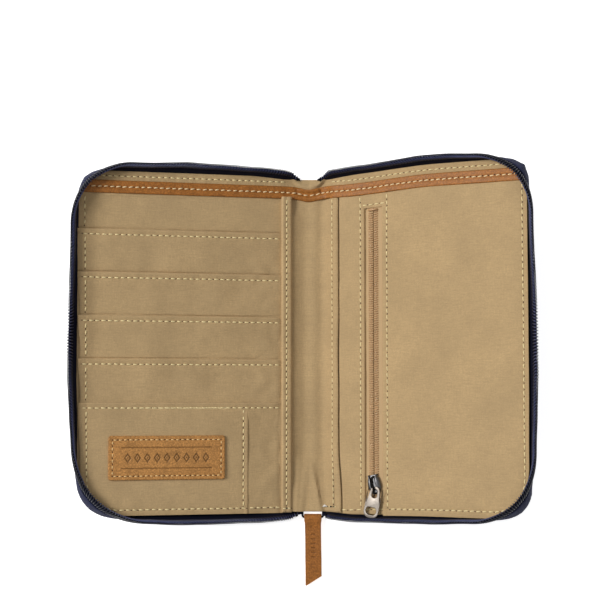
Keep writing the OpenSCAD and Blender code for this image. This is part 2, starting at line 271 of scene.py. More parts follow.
def cloth(name, rgb, contrast, weave=14.0, rough=0.82, bump=0.35, sheen=0.12, rubbed=None):
    """Waxed cotton: plain weave, cloudy wax marks, faint creases, paler along folded edges."""
    mat = Material(name, rough)
    colour = srgb(rgb)
    uv = mat.uv()
    clouds = mat.noise(uv, scale=0.42, detail=5, rough=0.6)
    base = mat.ramp(clouds, [(0.30, shade(colour, 1.02 - contrast)), (0.5, shade(colour, 1.04)),
                             (0.70, shade(colour, 1.06 + contrast))])
    # yarn streaks both ways
    rows = mat.noise(mat.uv(0.9, 9.0), scale=2.4, detail=4, rough=0.65)
    columns = mat.noise(mat.uv(9.0, 1.3), scale=2.0, detail=4, rough=0.65)
    streaks = mat.mask(mat.times(rows, 0.62, add=mat.times(columns, 0.38)),
                       (0.40, 0), (0.5, 0.4), (0.60, 1))
    base = mat.layer(base, streaks, 0.50, shade(colour, 0.70))
    base = mat.blotches(base, colour, CLOTH_BLOTCHES)
    yarns = mat.math("MULTIPLY", *[mat.wave(uv, weave, axis, distort=0.6, detail=3)
                                   for axis in "XY"])
    base = mat.layer(base, mat.math("SUBTRACT", 1.0, yarns), 0.14, shade(colour, 0.66))
    if rubbed:
        # wax rubbed off in cloudy patches and along fine creases
        patches = mat.mask(mat.noise(mat.uv(0.7, 1.0), scale=0.9, detail=8, rough=0.72),
                           (0.42, 0), (0.66, 1))
        lines = mat.mask(mat.noise(mat.uv(0.5, 2.4), scale=1.6, detail=6, rough=0.7),
                         (0.485, 0), (0.5, 1), (0.515, 0))
        base = mat.mix(mat.times(patches, 0.42, add=mat.times(lines, 0.30)), base, srgb(rubbed))
    base = mat.layer(base, mat.near_edge(width=0.7), 0.22, shade(colour, 1.3))
    mat.set("Base Color", base)
    mat.set("Roughness", mat.times(clouds, 0.22, add=rough - 0.12))
    mat.set("Specular IOR Level", 0.3)
    mat.set("Sheen Weight", sheen)
    mat.set("Sheen Roughness", 0.5)
    creases = mat.noise(mat.uv(), scale=1.4, detail=7, rough=0.62)
    fabric = mat.times(mat.math("ADD", yarns, mat.times(streaks, 0.9)), 0.5)
    mat.bump(mat.math("ADD", fabric, mat.times(creases, 3.0)), bump, distance=0.00030)
    return mat.material


def leather(name, rgb, dark=0.5, rough=0.5):
    """Vegetable-tanned leather: pores, cloudy colour, darker edges and pressed marks."""
    mat = Material(name, rough)
    colour = srgb(rgb)
    uv = mat.uv()
    clouds = mat.noise(uv, scale=0.9, detail=6, rough=0.65)
    base = mat.ramp(clouds, [(0.28, shade(colour, 0.78)), (0.5, colour),
                             (0.75, shade(colour, 1.22))])
    fibres = mat.noise(mat.uv(2.0, 9.0), scale=2.0, detail=4, rough=0.7)
    base = mat.layer(base, fibres, 0.3, shade(colour, dark))
    pores = mat.node("TexVoronoi", {"Scale": 26, "Vector": uv}, "Distance")
    base = mat.layer(base, mat.near_edge(width=0.55), 0.62, shade(colour, dark))
    base = mat.blotches(base, colour, LEATHER_BLOTCHES, uv)
    base = mat.layer(base, mat.attribute("press"), 0.75, shade(colour, 0.22))
    mat.set("Base Color", base)
    mat.set("Specular IOR Level", 0.28)
    mat.set("Roughness", mat.times(clouds, 0.25, add=rough - 0.12))
    grain = mat.noise(uv, scale=9, detail=5, rough=0.6)
    mat.bump(mat.math("ADD", mat.times(pores, 0.5), mat.times(grain, 0.8)),
             strength=0.3, distance=0.00018)
    return mat.material


def tape(name, rgb, rib, rough, bright):
    """Woven zip tape with cross ribs. UV x runs along the tape."""
    mat = Material(name, rough)
    colour = srgb(rgb)
    uv = mat.uv()
    ribs = mat.wave(uv, rib, "X", distort=0.4, detail=2)
    rows = mat.wave(uv, rib * 1.4, "Y", distort=0.3, detail=2)
    weave = mat.math("MULTIPLY", ribs, rows)
    cloud = mat.noise(uv, scale=3.0, detail=4)
    mat.set("Base Color", mat.mix(mat.times(cloud, 0.5, add=mat.times(weave, 0.6)),
                                  colour, shade(colour, bright)))
    mat.set("Specular IOR Level", 0.15)
    mat.bump(mat.math("ADD", ribs, mat.times(rows, 0.6)), strength=0.5, distance=0.00015)
    return mat.material


def thread(name, rgb):
    mat = Material(name, rough=0.62)
    colour = srgb(rgb)
    twist = mat.wave(mat.obj(900.0), 1.0, "DIAGONAL", distort=1.0, detail=2)
    cloud = mat.noise(mat.obj(), scale=260)
    mat.set("Base Color", mat.mix(mat.times(cloud, 0.5, add=mat.times(twist, 0.25)),
                                  colour, shade(colour, 0.6)))
    mat.bump(twist, strength=0.3, distance=0.00008)
    return mat.material


def coil(name, rgb, rough, crest=None):
    """Nylon coil; where the edge attribute is 1 the crests get a paler colour, a painted glint."""
    mat = Material(name, rough)
    colour = srgb(rgb)
    cloud = mat.noise(mat.obj(), scale=500)
    base = mat.mix(cloud, colour, shade(colour, 2.2, add=0.01))
    if crest:
        # painted glint: a paler crest colour where the edge attribute is high
        glint_mask = mat.times(mat.attribute("edge"), mat.times(cloud, 0.8, add=0.45))
        base = mat.mix(glint_mask, base, srgb(crest))
    mat.set("Base Color", base)
    mat.set("Roughness", mat.times(cloud, 0.25, add=rough - 0.1))
    mat.set("Coat Weight", 0.25)
    mat.bump(cloud, strength=0.12, distance=0.0001)
    return mat.material


def metal(name, rgb, rough, wear=0.5):
    mat = Material(name, rough, metallic=1.0)
    colour = srgb(rgb)
    cloud = mat.noise(mat.obj(), scale=420, detail=5, rough=0.65)
    fine = mat.noise(mat.obj(), scale=1600, rough=0.6)
    mat.set("Base Color", mat.layer(colour, cloud, wear, shade(colour, 0.5)))
    mat.set("Roughness", mat.times(cloud, 0.3, add=rough - 0.13))
    mat.bump(mat.math("ADD", cloud, mat.times(fine, 0.4)), strength=0.12, distance=0.0001)
    return mat.material


def board(name, rgb):
    mat = Material(name, rough=0.9)
    colour = srgb(rgb)
    fibres = mat.noise(mat.obj(), scale=700, detail=5, rough=0.7)
    mat.set("Base Color", mat.mix(fibres, colour, shade(colour, 0.6)))
    mat.bump(fibres, strength=0.3, distance=0.0002)
    return mat.material


# each material with the slot its parts usually belong to
MATERIALS = {
    "cloth": (cloth("inner_waxed_cotton", (194, 165, 121), contrast=0.13), "inner_cloth"),
    "canvas": (cloth("cover_waxed_cotton_navy", (26, 32, 68), contrast=0.20, weave=12.0, rough=0.8,
                     bump=0.6, sheen=0.04, rubbed=(52, 60, 100)), "cover_canvas"),
    "trim": (leather("trim_leather", (164, 104, 44), dark=0.55), "trim_leather"),
    "label": (leather("label_leather", (190, 136, 76)), "label_leather"),
    "pull": (leather("pull_leather", (162, 102, 44)), "pull_leather"),
    "tape": (tape("navy_zip_tape", (6, 8, 24), rib=9.0, rough=0.9, bright=2.4), "zip_tape_navy"),
    # the navy coil's crest colour is a painted glint on the tops of its turns
    "coil": (coil("navy_zip_coil", (8, 10, 26), rough=0.34, crest=(78, 86, 132)),
             "zip_coil_navy"),
    "inner_tape": (tape("tan_zip_tape", (198, 168, 127), rib=10.0, rough=0.8, bright=1.14),
                   "inner_zip_tape"),
    "inner_coil": (coil("tan_zip_coil", (150, 116, 80), rough=0.42), "inner_zip_coil"),
    "thread": (thread("cream_thread", (255, 236, 180)), "inner_cloth"),
    "trim_thread": (thread("pale_thread", (255, 228, 180)), "trim_leather"),
    "navy_thread": (thread("navy_thread", (74, 82, 118)), "cover_canvas"),
    "label_thread": (thread("golden_thread", (252, 214, 150)), "label_leather"),
    "gunmetal": (metal("gunmetal_plate", (122, 122, 124), rough=0.42), "gunmetal"),
    "nickel": (metal("tumbled_nickel", (150, 142, 134), rough=0.44, wear=0.6), "nickel"),
    "wire": (metal("black_wire", (34, 34, 38), rough=0.4), "black_wire"),
    "board": (board("fibre_board", (120, 108, 92)), "board"),
    # the slider's own gunmetal painted near black for its arch: painted shade
    "dark_gunmetal": (metal("dark_gunmetal", (26, 25, 25), rough=0.6), "gunmetal"),
    "cut_leather": (leather("pull_leather_cut_end", (196, 128, 62), dark=0.8, rough=0.6),
                    "pull_leather"),
    "knot": (thread("white_knot", (250, 246, 236)), "inner_cloth"),
    # needle holes: dark discs, their colour painted shade inside the holes
    "hole": (thread("needle_hole_cloth", (84, 60, 36)), "inner_cloth"),
    "leather_hole": (thread("needle_hole_leather", (58, 30, 14)), "trim_leather"),
}


# ---------------------------------------------------------------- mesh building
def build(name, points, faces, material, on, uv=None, edge=None, press=None, replaces=()):
    """A smooth mesh object from points in metres, with one UV in mm per point.

    on is the body it rides on, or a side if it bends between that cover and the spine.
    edge is the distance to an edge that shows wear in mm, or on the zip coil the share of painted
    glint; press the depth of pressed marks from 0 to 1.
    """
    shader, usual_slot = MATERIALS[material]
    points = np.asarray(points, float)
    mesh = bpy.data.meshes.new(name)
    mesh.from_pydata(points.tolist(), [], faces)
    mesh.materials.append(shader)
    mesh.validate()
    uv_data = mesh.uv_layers.new(name="cloth").data
    uv = (points[:, :2] * 1000 if uv is None else np.asarray(uv, float)) / 10.0
    corners = np.zeros(len(mesh.loops), np.int32)
    mesh.loops.foreach_get("vertex_index", corners)
    uv_data.foreach_set("uv", uv[corners].astype(np.float32).ravel())
    for key, values, default in (("edge", edge, 9.0), ("press", press, 0.0)):
        values = np.full(len(points), default if values is None else values, np.float32)
        mesh.attributes.new(key, "FLOAT", "POINT").data.foreach_set("value", values)
    edit = bmesh.new()
    edit.from_mesh(mesh)
    bmesh.ops.recalc_face_normals(edit, faces=edit.faces)
    edit.to_mesh(mesh)
    edit.free()
    mesh.polygons.foreach_set("use_smooth", np.ones(len(mesh.polygons), bool))
    ob = bpy.data.objects.new(name, mesh)
    bpy.context.scene.collection.objects.link(ob)
    if on in TILT:
        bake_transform(ob)
    else:
        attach(ob, on)
    if replaces:
        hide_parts(*replaces)
    return ob


def sharpen(ob, angle):
    """Marks edges steeper than an angle in degrees as sharp."""
    edit = bmesh.new()
    edit.from_mesh(ob.data)
    for edge in edit.edges:
        if len(edge.link_faces) == 2:
            edge.smooth = edge.calc_face_angle(0) < math.radians(angle)
    edit.to_mesh(ob.data)
    edit.free()


def slab_faces(rows, cols):
    """Faces of a closed slab whose two grids of points follow one another."""
    count = rows * cols
    top = [(a, a + 1, a + cols + 1, a + cols)
           for j in range(rows - 1) for a in range(j * cols, (j + 1) * cols - 1)]
    bottom = [tuple(i + count for i in reversed(face)) for face in top]
    rim = ([i for i in range(cols)] + [(j + 1) * cols - 1 for j in range(1, rows)]
           + [(rows - 1) * cols + i for i in range(cols - 2, -1, -1)]
           + [j * cols for j in range(rows - 2, 0, -1)])
    wall = [(a, a + count, b + count, b) for a, b in zip(rim, rim[1:] + rim[:1])]
    return top + bottom + wall


def ring_faces(rows, ring, closed=False):
    """Quads joining rows of points that each go round a ring."""
    faces = []
    for i in range(rows if closed else rows - 1):
        a, b = i * ring, (i + 1) % rows * ring
        faces += [(a + q, a + (q + 1) % ring, b + (q + 1) % ring, b + q) for q in range(ring)]
    return faces


def tube_faces(rows, ring):
    caps = [tuple(range(ring))[::-1], tuple((rows - 1) * ring + q for q in range(ring))]
    return ring_faces(rows, ring) + caps


def tube(path, radius, ring=8, closed=False):
    """Points and faces of a round tube along a path."""
    path = np.array(path, float)
    count = len(path)
    if closed:
        tangent = np.roll(path, -1, 0) - np.roll(path, 1, 0)
    else:
        tangent = np.gradient(path, axis=0)
    tangent /= np.maximum(np.linalg.norm(tangent, axis=1), 1e-9)[:, None]
    up = np.array([0, 0, 1.0])
    if abs(tangent[0] @ up) > 0.9:
        up = np.array([0, 1.0, 0])
    normal = up - tangent[0] * (tangent[0] @ up)
    normal /= np.linalg.norm(normal)
    points = []
    for centre, along, reach in zip(path, tangent, np.broadcast_to(radius, (count,))):
        normal = normal - along * (along @ normal)
        normal /= max(np.linalg.norm(normal), 1e-9)
        side = np.cross(along, normal)
        for q in range(ring):
            a = 2 * math.pi * q / ring
            points.append(centre + reach * (math.cos(a) * normal + math.sin(a) * side))
    faces = ring_faces(count, ring, True) if closed else tube_faces(count, ring)
    return np.array(points), faces


def join(parts):
    """One list of points and faces from several."""
    faces, offset = [], 0
    for points, part in parts:
        faces += [tuple(i + offset for i in face) for face in part]
        offset += len(points)
    return np.concatenate([points for points, _ in parts]), faces


# ---------------------------------------------------------------- sheets and patches
EDGE_STEPS = (0.0, 0.12, 0.28, 0.5, 0.8, 1.2)       # grid lines beside a rounded edge
GROOVE_STEPS = (-1.3, -0.85, -0.5, -0.25, 0.0, 0.25, 0.5, 0.85, 1.3)
GAP_STEPS = (-0.5, -0.3, -0.15, 0.0, 0.15, 0.3, 0.5)


def lattice(start, end, res, fine_start, fine_end):
    """Grid positions from start to end, closer together beside the fine ends."""
    head = [start + step for step in EDGE_STEPS] if fine_start else [start]
    tail = [end - step for step in reversed(EDGE_STEPS)] if fine_end else [end]
    count = max(1, int(round((tail[0] - head[-1]) / res)))
    middle = [head[-1] + (tail[0] - head[-1]) * i / count for i in range(1, count)]
    return np.array(head + middle + tail)


def refine(grid, lines, steps=GROOVE_STEPS):
    """Adds grid positions beside lines, dropping neighbours that would come too close."""
    extra = [line + step for line in lines for step in steps
             if grid[0] + 0.3 < line + step < grid[-1] - 0.3]
    kept = [x for x in grid[1:-1] if not extra or min(abs(x - e) for e in extra) > 0.28]
    return np.array(sorted([grid[0], grid[-1]] + kept + extra))


class Surface:
    """A closed piece of a half whose relief() gives its height and its distance to an edge."""
    bend = down = False
    dip = staticmethod(level)

    @property
    def on(self):
        return self.side if self.bend else BODY[self.side]

    def height(self, u, v):
        return float(self.relief(np.array([u]), np.array([v]))[0][0])

    def slab(self, name, u, v, top, base, material, replaces, edge, back_edge, press=None,
             turn_uv=False):
        layers = [np.stack([u, v, w], -1).reshape(-1, 3) for w in (top, base)]
        points = np.concatenate(layers)
        uv = points[:, 1::-1] if turn_uv else points[:, :2]
        edge = np.concatenate([edge.ravel(), np.full(u.size, back_edge)])
        return build(name, place(self.side, points, self.bend), slab_faces(*u.shape), material,
                     self.on, uv, edge, press, replaces)


class Sheet(Surface):
    """A soft sheet of a half.

    u, v     its two limits each way; w is its underside and thick its thickness
    rolls    the rounded edges among u0, u1, v0, v1 and out, with their radius
    wave     height, length and seed of its unevenness; fine is the height of the finest
    grooves  seams as (axis held, place, slope, depth); gaps are dark lines across at these v
    clip     corner radius, or upper and lower, and inset from the cover's outline
    down     the shaped face looks down; bend lets it bend at the fold
    shape    lifts both faces, extra the upper and under the lower, as functions of (u, v)
    dip      shift along v by u; shift is along u; shrink narrows it in v at the spine
    """

    def __init__(self, name, side, u, v, w, thick, wave, material="cloth", rolls="", radius=0.6,
                 res=1.4, fine=0.03, grooves=(), gaps=(), clip=None, down=False, bend=False,
                 replaces=(), shape=level, extra=level, under=level, dip=level, shift=level,
                 shrink=0.0, turn_uv=False):
        self.side, self.u, self.v, self.w, self.thick = side, u, v, w, thick
        self.rolls, self.radius, self.wave, self.fine = rolls, radius, wave, fine
        self.grooves, self.gaps, self.clip, self.down, self.bend = grooves, gaps, clip, down, bend
        self.shape, self.extra, self.dip = shape, extra, dip
        clipped = clip is not None
        columns = lattice(*u, res, "u0" in rolls, True)
        rows = lattice(*v, res, "v0" in rolls or clipped, "v1" in rolls or clipped)
        columns = refine(columns, [groove[1] for groove in grooves if groove[0] == "u"])
        rows = refine(rows, [groove[1] for groove in grooves if groove[0] == "v"])
        rows = refine(rows, gaps, GAP_STEPS)
        us, vs = np.meshgrid(columns, rows)
        if clipped:
            corner, inset = self.outline(vs)
            beyond = np.abs(vs) - (HALF_H - corner)
            round_part = np.sqrt(np.maximum((corner - inset) ** 2 - beyond ** 2, 0))
            limit = np.where(beyond > 0, WIDTH - corner + round_part, WIDTH - inset)
            limit = np.minimum(limit, u[1])
            us = u[0] + (us - u[0]) / (u[1] - u[0]) * (limit - u[0])
        top, edge = self.relief(us, vs)
        base = np.full_like(top, w + (thick if down else 0.0)) + shape(us, vs) + under(us, vs)
        vs = (vs + dip(us)) * (1 - shrink * fall(us, -3.5, 5.0))
        us = us + shift(us, vs)
        ob = self.slab(name, us, vs, top, base, material, replaces, edge, back_edge=5.0,
                       turn_uv=turn_uv)
        sharpen(ob, 48)

    def outline(self, v):
        """Corner radius and inset of the clipping outline at v."""
        corners, inset = self.clip
        upper, lower = np.broadcast_to(corners, (2,))
        return np.where(v > 0, upper, lower), inset(v) if callable(inset) else inset

    def edge_distance(self, u, v):
        edge = np.full_like(u, 50.0)
        for key, distance in (("u0", u - self.u[0]), ("u1", self.u[1] - u),
                              ("v0", v - self.v[0]), ("v1", self.v[1] - v)):
            if key in self.rolls:
                edge = np.minimum(edge, distance)
        if "out" in self.rolls:
            corner, inset = self.outline(v)
            past_u, past_v = u - (WIDTH - corner), np.abs(v) - (HALF_H - corner)
            edge = np.minimum(edge, np.where(
                (past_u > 0) & (past_v > 0), corner - inset - np.hypot(past_u, past_v),
                np.minimum(WIDTH - inset - u, HALF_H - inset - np.abs(v))))
        return np.maximum(edge, 0)

    def relief(self, u, v):
        edge = self.edge_distance(u, v)
        amp, scale, seed = self.wave
        h = (amp * noise(u, v, scale, seed) + amp * 0.45 * noise(u, v, scale * 0.37, seed + 1)
             + self.fine * noise(u, v, 2.3, seed + 2))
        if self.rolls:
            h = h * (0.35 + 0.65 * rise(edge, 0.0, 4.0))
        if self.bend:
            h = h * rise(u, SPINE_U, 5.0)
        for axis, place_, slope, depth in self.grooves:
            across, run = (v, u) if axis == "v" else (u, v)
            off = across - (place_ + slope * run)
            # the seam sinks with each stitch, and the cloth puckers beside it
            h = h + depth * (
                -bell(off, 0.6) * (0.8 + 0.2 * np.cos(run * 2 * math.pi / 2.7))
                + 0.55 * noise(run, off * 0.25, 1.7, 77) * bell(off, 1.9)
                + 0.40 * noise(run, off * 0.15, 4.6, 78) * bell(off, 4.5))
        for gap in self.gaps:
            h = h - 0.62 * bell(v - gap, 0.24)
        h = h + self.extra(u, v) + self.shape(u, v) - roll_off(edge, self.radius)
        return (self.w - h if self.down else self.w + self.thick + h), edge


class Patch(Surface):
    """A finely meshed leather patch with rounded corners, a sewn groove and a pressed pattern."""
    corner = 1.1
    res = 0.17

    def __init__(self, name, side, u, v, w, thick, wave, material, groove, pattern, replaces):
        self.side, self.u, self.v, self.w, self.thick = side, u, v, w, thick
        self.wave, self.groove, self.pattern = wave, groove, pattern
        us, vs = np.meshgrid(*[np.linspace(a, b, int((b - a) / self.res)) for a, b in (u, v)])
        # pull the corners of the grid onto the rounded outline
        core_u, core_v = self.core(us, vs)
        off_u, off_v = us - core_u, vs - core_v
        longest = np.maximum(np.abs(off_u), np.abs(off_v))
        scale = np.where((np.abs(off_u) > 0) & (np.abs(off_v) > 0),
                         longest / np.maximum(np.hypot(off_u, off_v), 1e-9), 1.0)
        us, vs = core_u + off_u * scale, core_v + off_v * scale
        top, edge = self.relief(us, vs)
        press = np.clip(-pattern(us, vs) / 0.2, 0, 1).ravel()
        self.slab(name, us, vs, top, np.full_like(top, w), material, replaces, edge,
                  back_edge=0.0, press=np.concatenate([press, np.zeros(us.size)]))

    def core(self, u, v):
        """Nearest point of the rectangle through the centres of the corners."""
        return [np.clip(x, low + self.corner, high - self.corner)
                for x, (low, high) in ((u, self.u), (v, self.v))]

    def relief(self, u, v):
        core_u, core_v = self.core(u, v)
        rounded = np.maximum(self.corner - np.hypot(u - core_u, v - core_v), 0)
        inner = np.minimum(np.minimum(u - self.u[0], self.u[1] - u),
                           np.minimum(v - self.v[0], self.v[1] - v))
        edge = np.where((u == core_u) | (v == core_v), inner, np.minimum(inner, rounded))
        amp, scale, seed = self.wave
        h = self.w + self.thick - roll_off(edge, 0.28) + self.pattern(u, v)
        h = h + amp * noise(u, v, scale, seed) + 0.02 * noise(u, v, 1.4, seed + 1)
        return h - 0.14 * bell(inner - self.groove, 0.5), edge


# ---------------------------------------------------------------- stitching
# along the stitch, radius, height: shares of its length, radius and 0.75 radius
STITCH = np.array([(-0.5, 0.35, -0.9), (-0.42, 0.85, -0.1), (-0.2, 1.0, 0.55), (0.0, 1.05, 0.7),
                   (0.2, 1.0, 0.55), (0.42, 0.85, -0.1), (0.5, 0.35, -0.9)])
STITCH_RING = 2 * math.pi * np.arange(6) / 6
HOLE_RING = 2 * math.pi * np.arange(8) / 8
HOLE_SIZE = (0.36, 0.25)                # half length and half width of a needle hole
HOLE_W = np.array([0.03] * 8 + [0.055, -0.10])      # its rim, its middle and its lower point
HOLE_FACES = [face for q in range(8)
              for face in ((q, (q + 1) % 8, 8), ((q + 1) % 8, q, 9))]


def stitches(name, runs, material="thread", pitch=2.7, length=1.9, radius=0.27, seed=5,
             slant=0.10):
    """Single stitches with needle holes between them, along runs of (sheet, [(u, v), ...]); the
    holes are small dark discs whose colour is painted shade.
    """
    random = np.random.RandomState(seed)
    threads, holes = [], []
    share, girth, crest = STITCH.T[:, :, None]
    for sheet, line in runs:
        line = np.array(line, float)
        travel = np.concatenate([[0], np.cumsum(np.hypot(*(line[1:] - line[:-1]).T))])
        count = max(1, int(travel[-1] // pitch))
        step = travel[-1] / count
        up = -1.0 if sheet.down else 1.0
        for k in range(count):
            before, middle, after = [
                np.array([np.interp((k + 0.5) * step + d, travel, line[:, c]) for c in (0, 1)])
                for d in (-0.4, 0.0, 0.4)]
            size = length * (1 + random.uniform(-0.07, 0.07))
            aside = random.uniform(-0.05, 0.05)
            turn = random.uniform(-0.07, 0.07) + slant
            cos, sin = math.cos(turn), math.sin(turn)
            along = (after - before) / np.hypot(*(after - before))
            along = np.array([[cos, -sin], [sin, cos]]) @ along
            across = np.array([-along[1], along[0]])

            hole = middle + along * step / 2
            rim = (hole + np.outer(HOLE_SIZE[0] * np.cos(HOLE_RING), along)
                   + np.outer(HOLE_SIZE[1] * np.sin(HOLE_RING), across))
            flat = np.concatenate([rim, [hole, hole]]) + (0.0, sheet.dip(hole[0]))
            holes.append((np.column_stack([flat, sheet.height(*hole) + up * HOLE_W]),
                          HOLE_FACES))

            centre = middle + share * size * along + across * aside
            centre[:, 1] += sheet.dip(centre[:, 0])
            spread = radius * girth * np.cos(STITCH_RING)
            flat = centre[:, None] + spread[:, :, None] * across
            w = sheet.height(*middle) + up * radius * (crest * 0.75
                                                       + girth * np.sin(STITCH_RING) * 0.85)
            threads.append((np.dstack([flat, w]).reshape(-1, 3),
                            tube_faces(len(STITCH), len(STITCH_RING))))
    on_leather = material in ("trim_thread", "label_thread")
    # dark needle-hole discs: painted shade
    points, faces = join(holes)
    build(name + "_needle_holes", place(sheet.side, points, sheet.bend), faces,
          "leather_hole" if on_leather else "hole", sheet.on)
    points, faces = join(threads)
    uv = np.stack(np.broadcast_arrays(share * 2, STITCH_RING), -1).reshape(-1, 2)
    build(name, place(sheet.side, points, sheet.bend), faces, material, sheet.on,
          np.tile(uv, (len(threads), 1)))


# ---------------------------------------------------------------- standing zip round each half
# lean: outward lean of the teeth at the top, outer side and bottom
# corners: upper and lower corner radius of the toothed edge
# low_end: u where its lower run ends; pinch: bulge of the tape in the upper corner
# tuck: how far the side leans in less: upper part, lower part, all along
# top_out: push along the top: everywhere, extra, then start and span of its rise and fall over u
# low_out: push of the lower corner: amount, start and span over u, start down v
RIM_SHAPE = {
    "L": dict(lean=(2.8, 5.2, 3.2), corners=(27.5, 34.0), low_end=-5.3, pinch=0.3,
              tuck=(0.8, 2.0, 0.0), top_out=(0.3, 0.6, 16, 12, 46, 16), low_out=(0.9, 46, 25, 30)),
    "R": dict(lean=(2.1, 6.0, 2.7), corners=(27.0, 30.0), low_end=-2.2, pinch=0.7,
              tuck=(1.35, 1.0, 0.35), top_out=(0.0, 0.85, -3, 7, 58, 18),
              low_out=(0.7, 50, 18, 35)),
}
RIM_STEP = 1.2
RIM_START = -4.2                        # u where the zip's upper run starts


class Rim:
    """Paths of the foot and of the toothed edge of the zip, round three sides of a half."""

    def __init__(self, side):
        self.side = side
        spec = RIM_SHAPE[side]
        lean_top, lean_out, lean_low = spec["lean"]
        r_top, r_low = spec["corners"]
        out, top = WIDTH - 0.5 + lean_out, HALF_H - 0.5 + lean_top
        low = -(HALF_H - 0.5 + lean_low)
        n_run = max(8, int((out - r_top - RIM_START) / RIM_STEP))
        n_arc = int(0.5 * (r_top + r_low) * math.pi / 2 / RIM_STEP)
        n_side = int((top - low - r_top - r_low) / RIM_STEP)
        angle = math.pi / 2 * (1 - np.arange(n_arc) / n_arc)
        upper = np.stack([np.cos(angle), np.sin(angle)], 1)
        angle = -math.pi / 2 * np.arange(n_arc) / n_arc
        lower = np.stack([np.cos(angle), np.sin(angle)], 1)

        def straight(start, end, count, steps):
            return np.array(start) + np.arange(count)[:, None] / steps * np.subtract(end, start)

        def path(out, top, low, r_top, r_low):
            return np.concatenate([
                straight((RIM_START, top), (out - r_top, top), n_run, n_run),
                np.array([out - r_top, top - r_top]) + r_top * upper,
                straight((out, top - r_top), (out, low + r_low), n_side, n_side),
                np.array([out - r_low, low + r_low]) + r_low * lower,
                straight((out - r_low, low), (spec["low_end"], low), n_run + 1, n_run)])

        teeth = path(out, top, low, r_top, r_low)
        foot_v = HALF_H - 0.15
        foot = path(WIDTH - 0.15, foot_v, -foot_v, CORNER - 0.6, LOW_CORNER[side] - 0.6)
        normal = np.concatenate([np.tile([0.0, 1.0], (n_run, 1)), upper,
                                 np.tile([1.0, 0.0], (n_side, 1)), lower,
                                 np.tile([0.0, -1.0], (n_run + 1, 1))])
        travel = np.concatenate([[0], np.cumsum(np.hypot(*(teeth[1:] - teeth[:-1]).T))])

        # the outer side leans out less towards both corners
        u, v = teeth.T.copy()
        tuck_up, tuck_low, tuck_all = spec["tuck"]
        teeth[:, 0] -= rise(u, 60, 20.0) * (tuck_up * rise(v, 12, 37.0)
                                            + tuck_low * rise(-v, 2, 50.0) + tuck_all)
        push, extra, start, span, end, end_span = spec["top_out"]
        teeth[:, 1] += (push + extra * rise(u, start, span) * fall(u, end, end_span)) * (v > 40)
        push, start, span, down = spec["low_out"]
        teeth[:, 1] += push * rise(u, start, span) * rise(-v, down, 20.0)

        # the zip sinks and straightens towards the spine; the toothed edge is never quite even
        u, v = foot.T.copy()
        flat = np.abs(normal[:, 1]) > 0.99
        open_out = np.where(v > 0, 0.10 + 0.90 * rise(u, RIM_START, 4.8),
                            0.5 + 0.5 * rise(u, RIM_START, 5.5))
        teeth = foot + (teeth - foot) * np.where(flat, open_out, 1.0)[:, None]
        uneven = 0.28 * noise(travel, 0, 23, 11) + 0.10 * noise(travel, 0, 6, 12)
        teeth = teeth + normal * uneven[:, None]
        draw_in = np.sign(v) * 1.2 * fall(u, -2, 24.0) * flat
        foot[:, 1] -= draw_in
        teeth[:, 1] -= draw_in
        stand = np.where(flat, 0.24 + 0.76 * rise(u, -5.2, 12.0), 1.0)
        self.travel, self.end = travel, travel[-1]
        self.tracks = [*foot.T, *teeth.T, *normal.T, stand]
        self.pinch, self.pinch_at = spec["pinch"], travel[n_run + int(n_arc * 0.56)]

    def at(self, k, w, out):
        """Points k mm along the path, at nominal height w and an outward offset."""
        k = np.asarray(k, float)
        foot_u, foot_v, tooth_u, tooth_v, out_u, out_v, stand = [
            np.interp(k, self.travel, track) for track in self.tracks]
        lean = np.clip((w - 0.7) / 7.3, 0, 1.1) ** 1.3
        out = out + self.pinch * bell(k - self.pinch_at, 3.6) * np.clip((5.5 - w) / 3.0, 0, 1)
        height = np.where(w > 0.7, 0.7 + (w - 0.7) * stand, w)
        return np.stack([foot_u + (tooth_u - foot_u) * lean + out_u * out,
                         foot_v + (tooth_v - foot_v) * lean + out_v * out, height], 1)

    def sweep(self, name, profile, material, step, ripple, replaces=()):
        """A closed profile of (w, out) points swept along the path."""
        rows, ring = max(4, int(self.end / step)), len(profile)
        ks = np.linspace(0, self.end, rows)
        points = np.stack([self.at(ks, w, out + ripple * noise(ks, w * 3, 3.1, 21))
                           for w, out in profile], 1).reshape(-1, 3)
        girth = np.concatenate([[0], np.cumsum(np.hypot(*np.diff(profile, axis=0).T))])
        uv = np.stack(np.meshgrid(ks, girth, indexing="ij"), -1).reshape(-1, 2)
        caps = [tuple(range(ring)), tuple((rows - 1) * ring + j for j in reversed(range(ring)))]
        build(name, place(self.side, points, True), ring_faces(rows, ring) + caps, material,
              self.side, uv, replaces=replaces)

    def teeth(self, name, replaces, pitch=1.24, margin=2.0):
        ks = np.arange(margin, self.end - margin, pitch)
        points, faces = join([
            tube([self.at([k + skew], w, out)[0] for w, out, skew in TOOTH], 0.205)
            for k in ks])
        # share of painted glint at each point of a turn, carried in the edge attribute
        crest_glint = np.tile(np.repeat(TOOTH_GLINT, 8), len(ks))
        build(name, place(self.side, points, True), faces, "coil", self.side, edge=crest_glint,
              replaces=replaces)


# profiles across the rim as (w, outward offset)
COVER_WALL = [(0.1, -0.1), (0.05, 0.12), (0.35, 0.36), (1.2, 0.44), (2.6, 0.46), (4.0, 0.44),
              (4.75, 0.40), (4.98, 0.28), (4.9, 0.10), (4.5, 0.05), (2.6, 0.04), (1.2, 0.0),
              (0.6, -0.1)]
TAPE_WALL = [(1.3, -0.30), (2.6, -0.32), (4.2, -0.34), (5.6, -0.34), (6.4, -0.42), (7.1, -0.46),
             (7.65, -0.28), (7.8, 0.0), (7.55, 0.30), (6.9, 0.44), (6.2, 0.32), (5.4, 0.12),
             (4.2, 0.0), (2.6, -0.06), (1.3, -0.02)]
END_CLAMP = [(6.0, -0.62), (7.2, -0.72), (8.0, -0.42), (8.2, 0), (8.0, 0.42), (7.2, 0.68),
             (6.0, 0.6)]
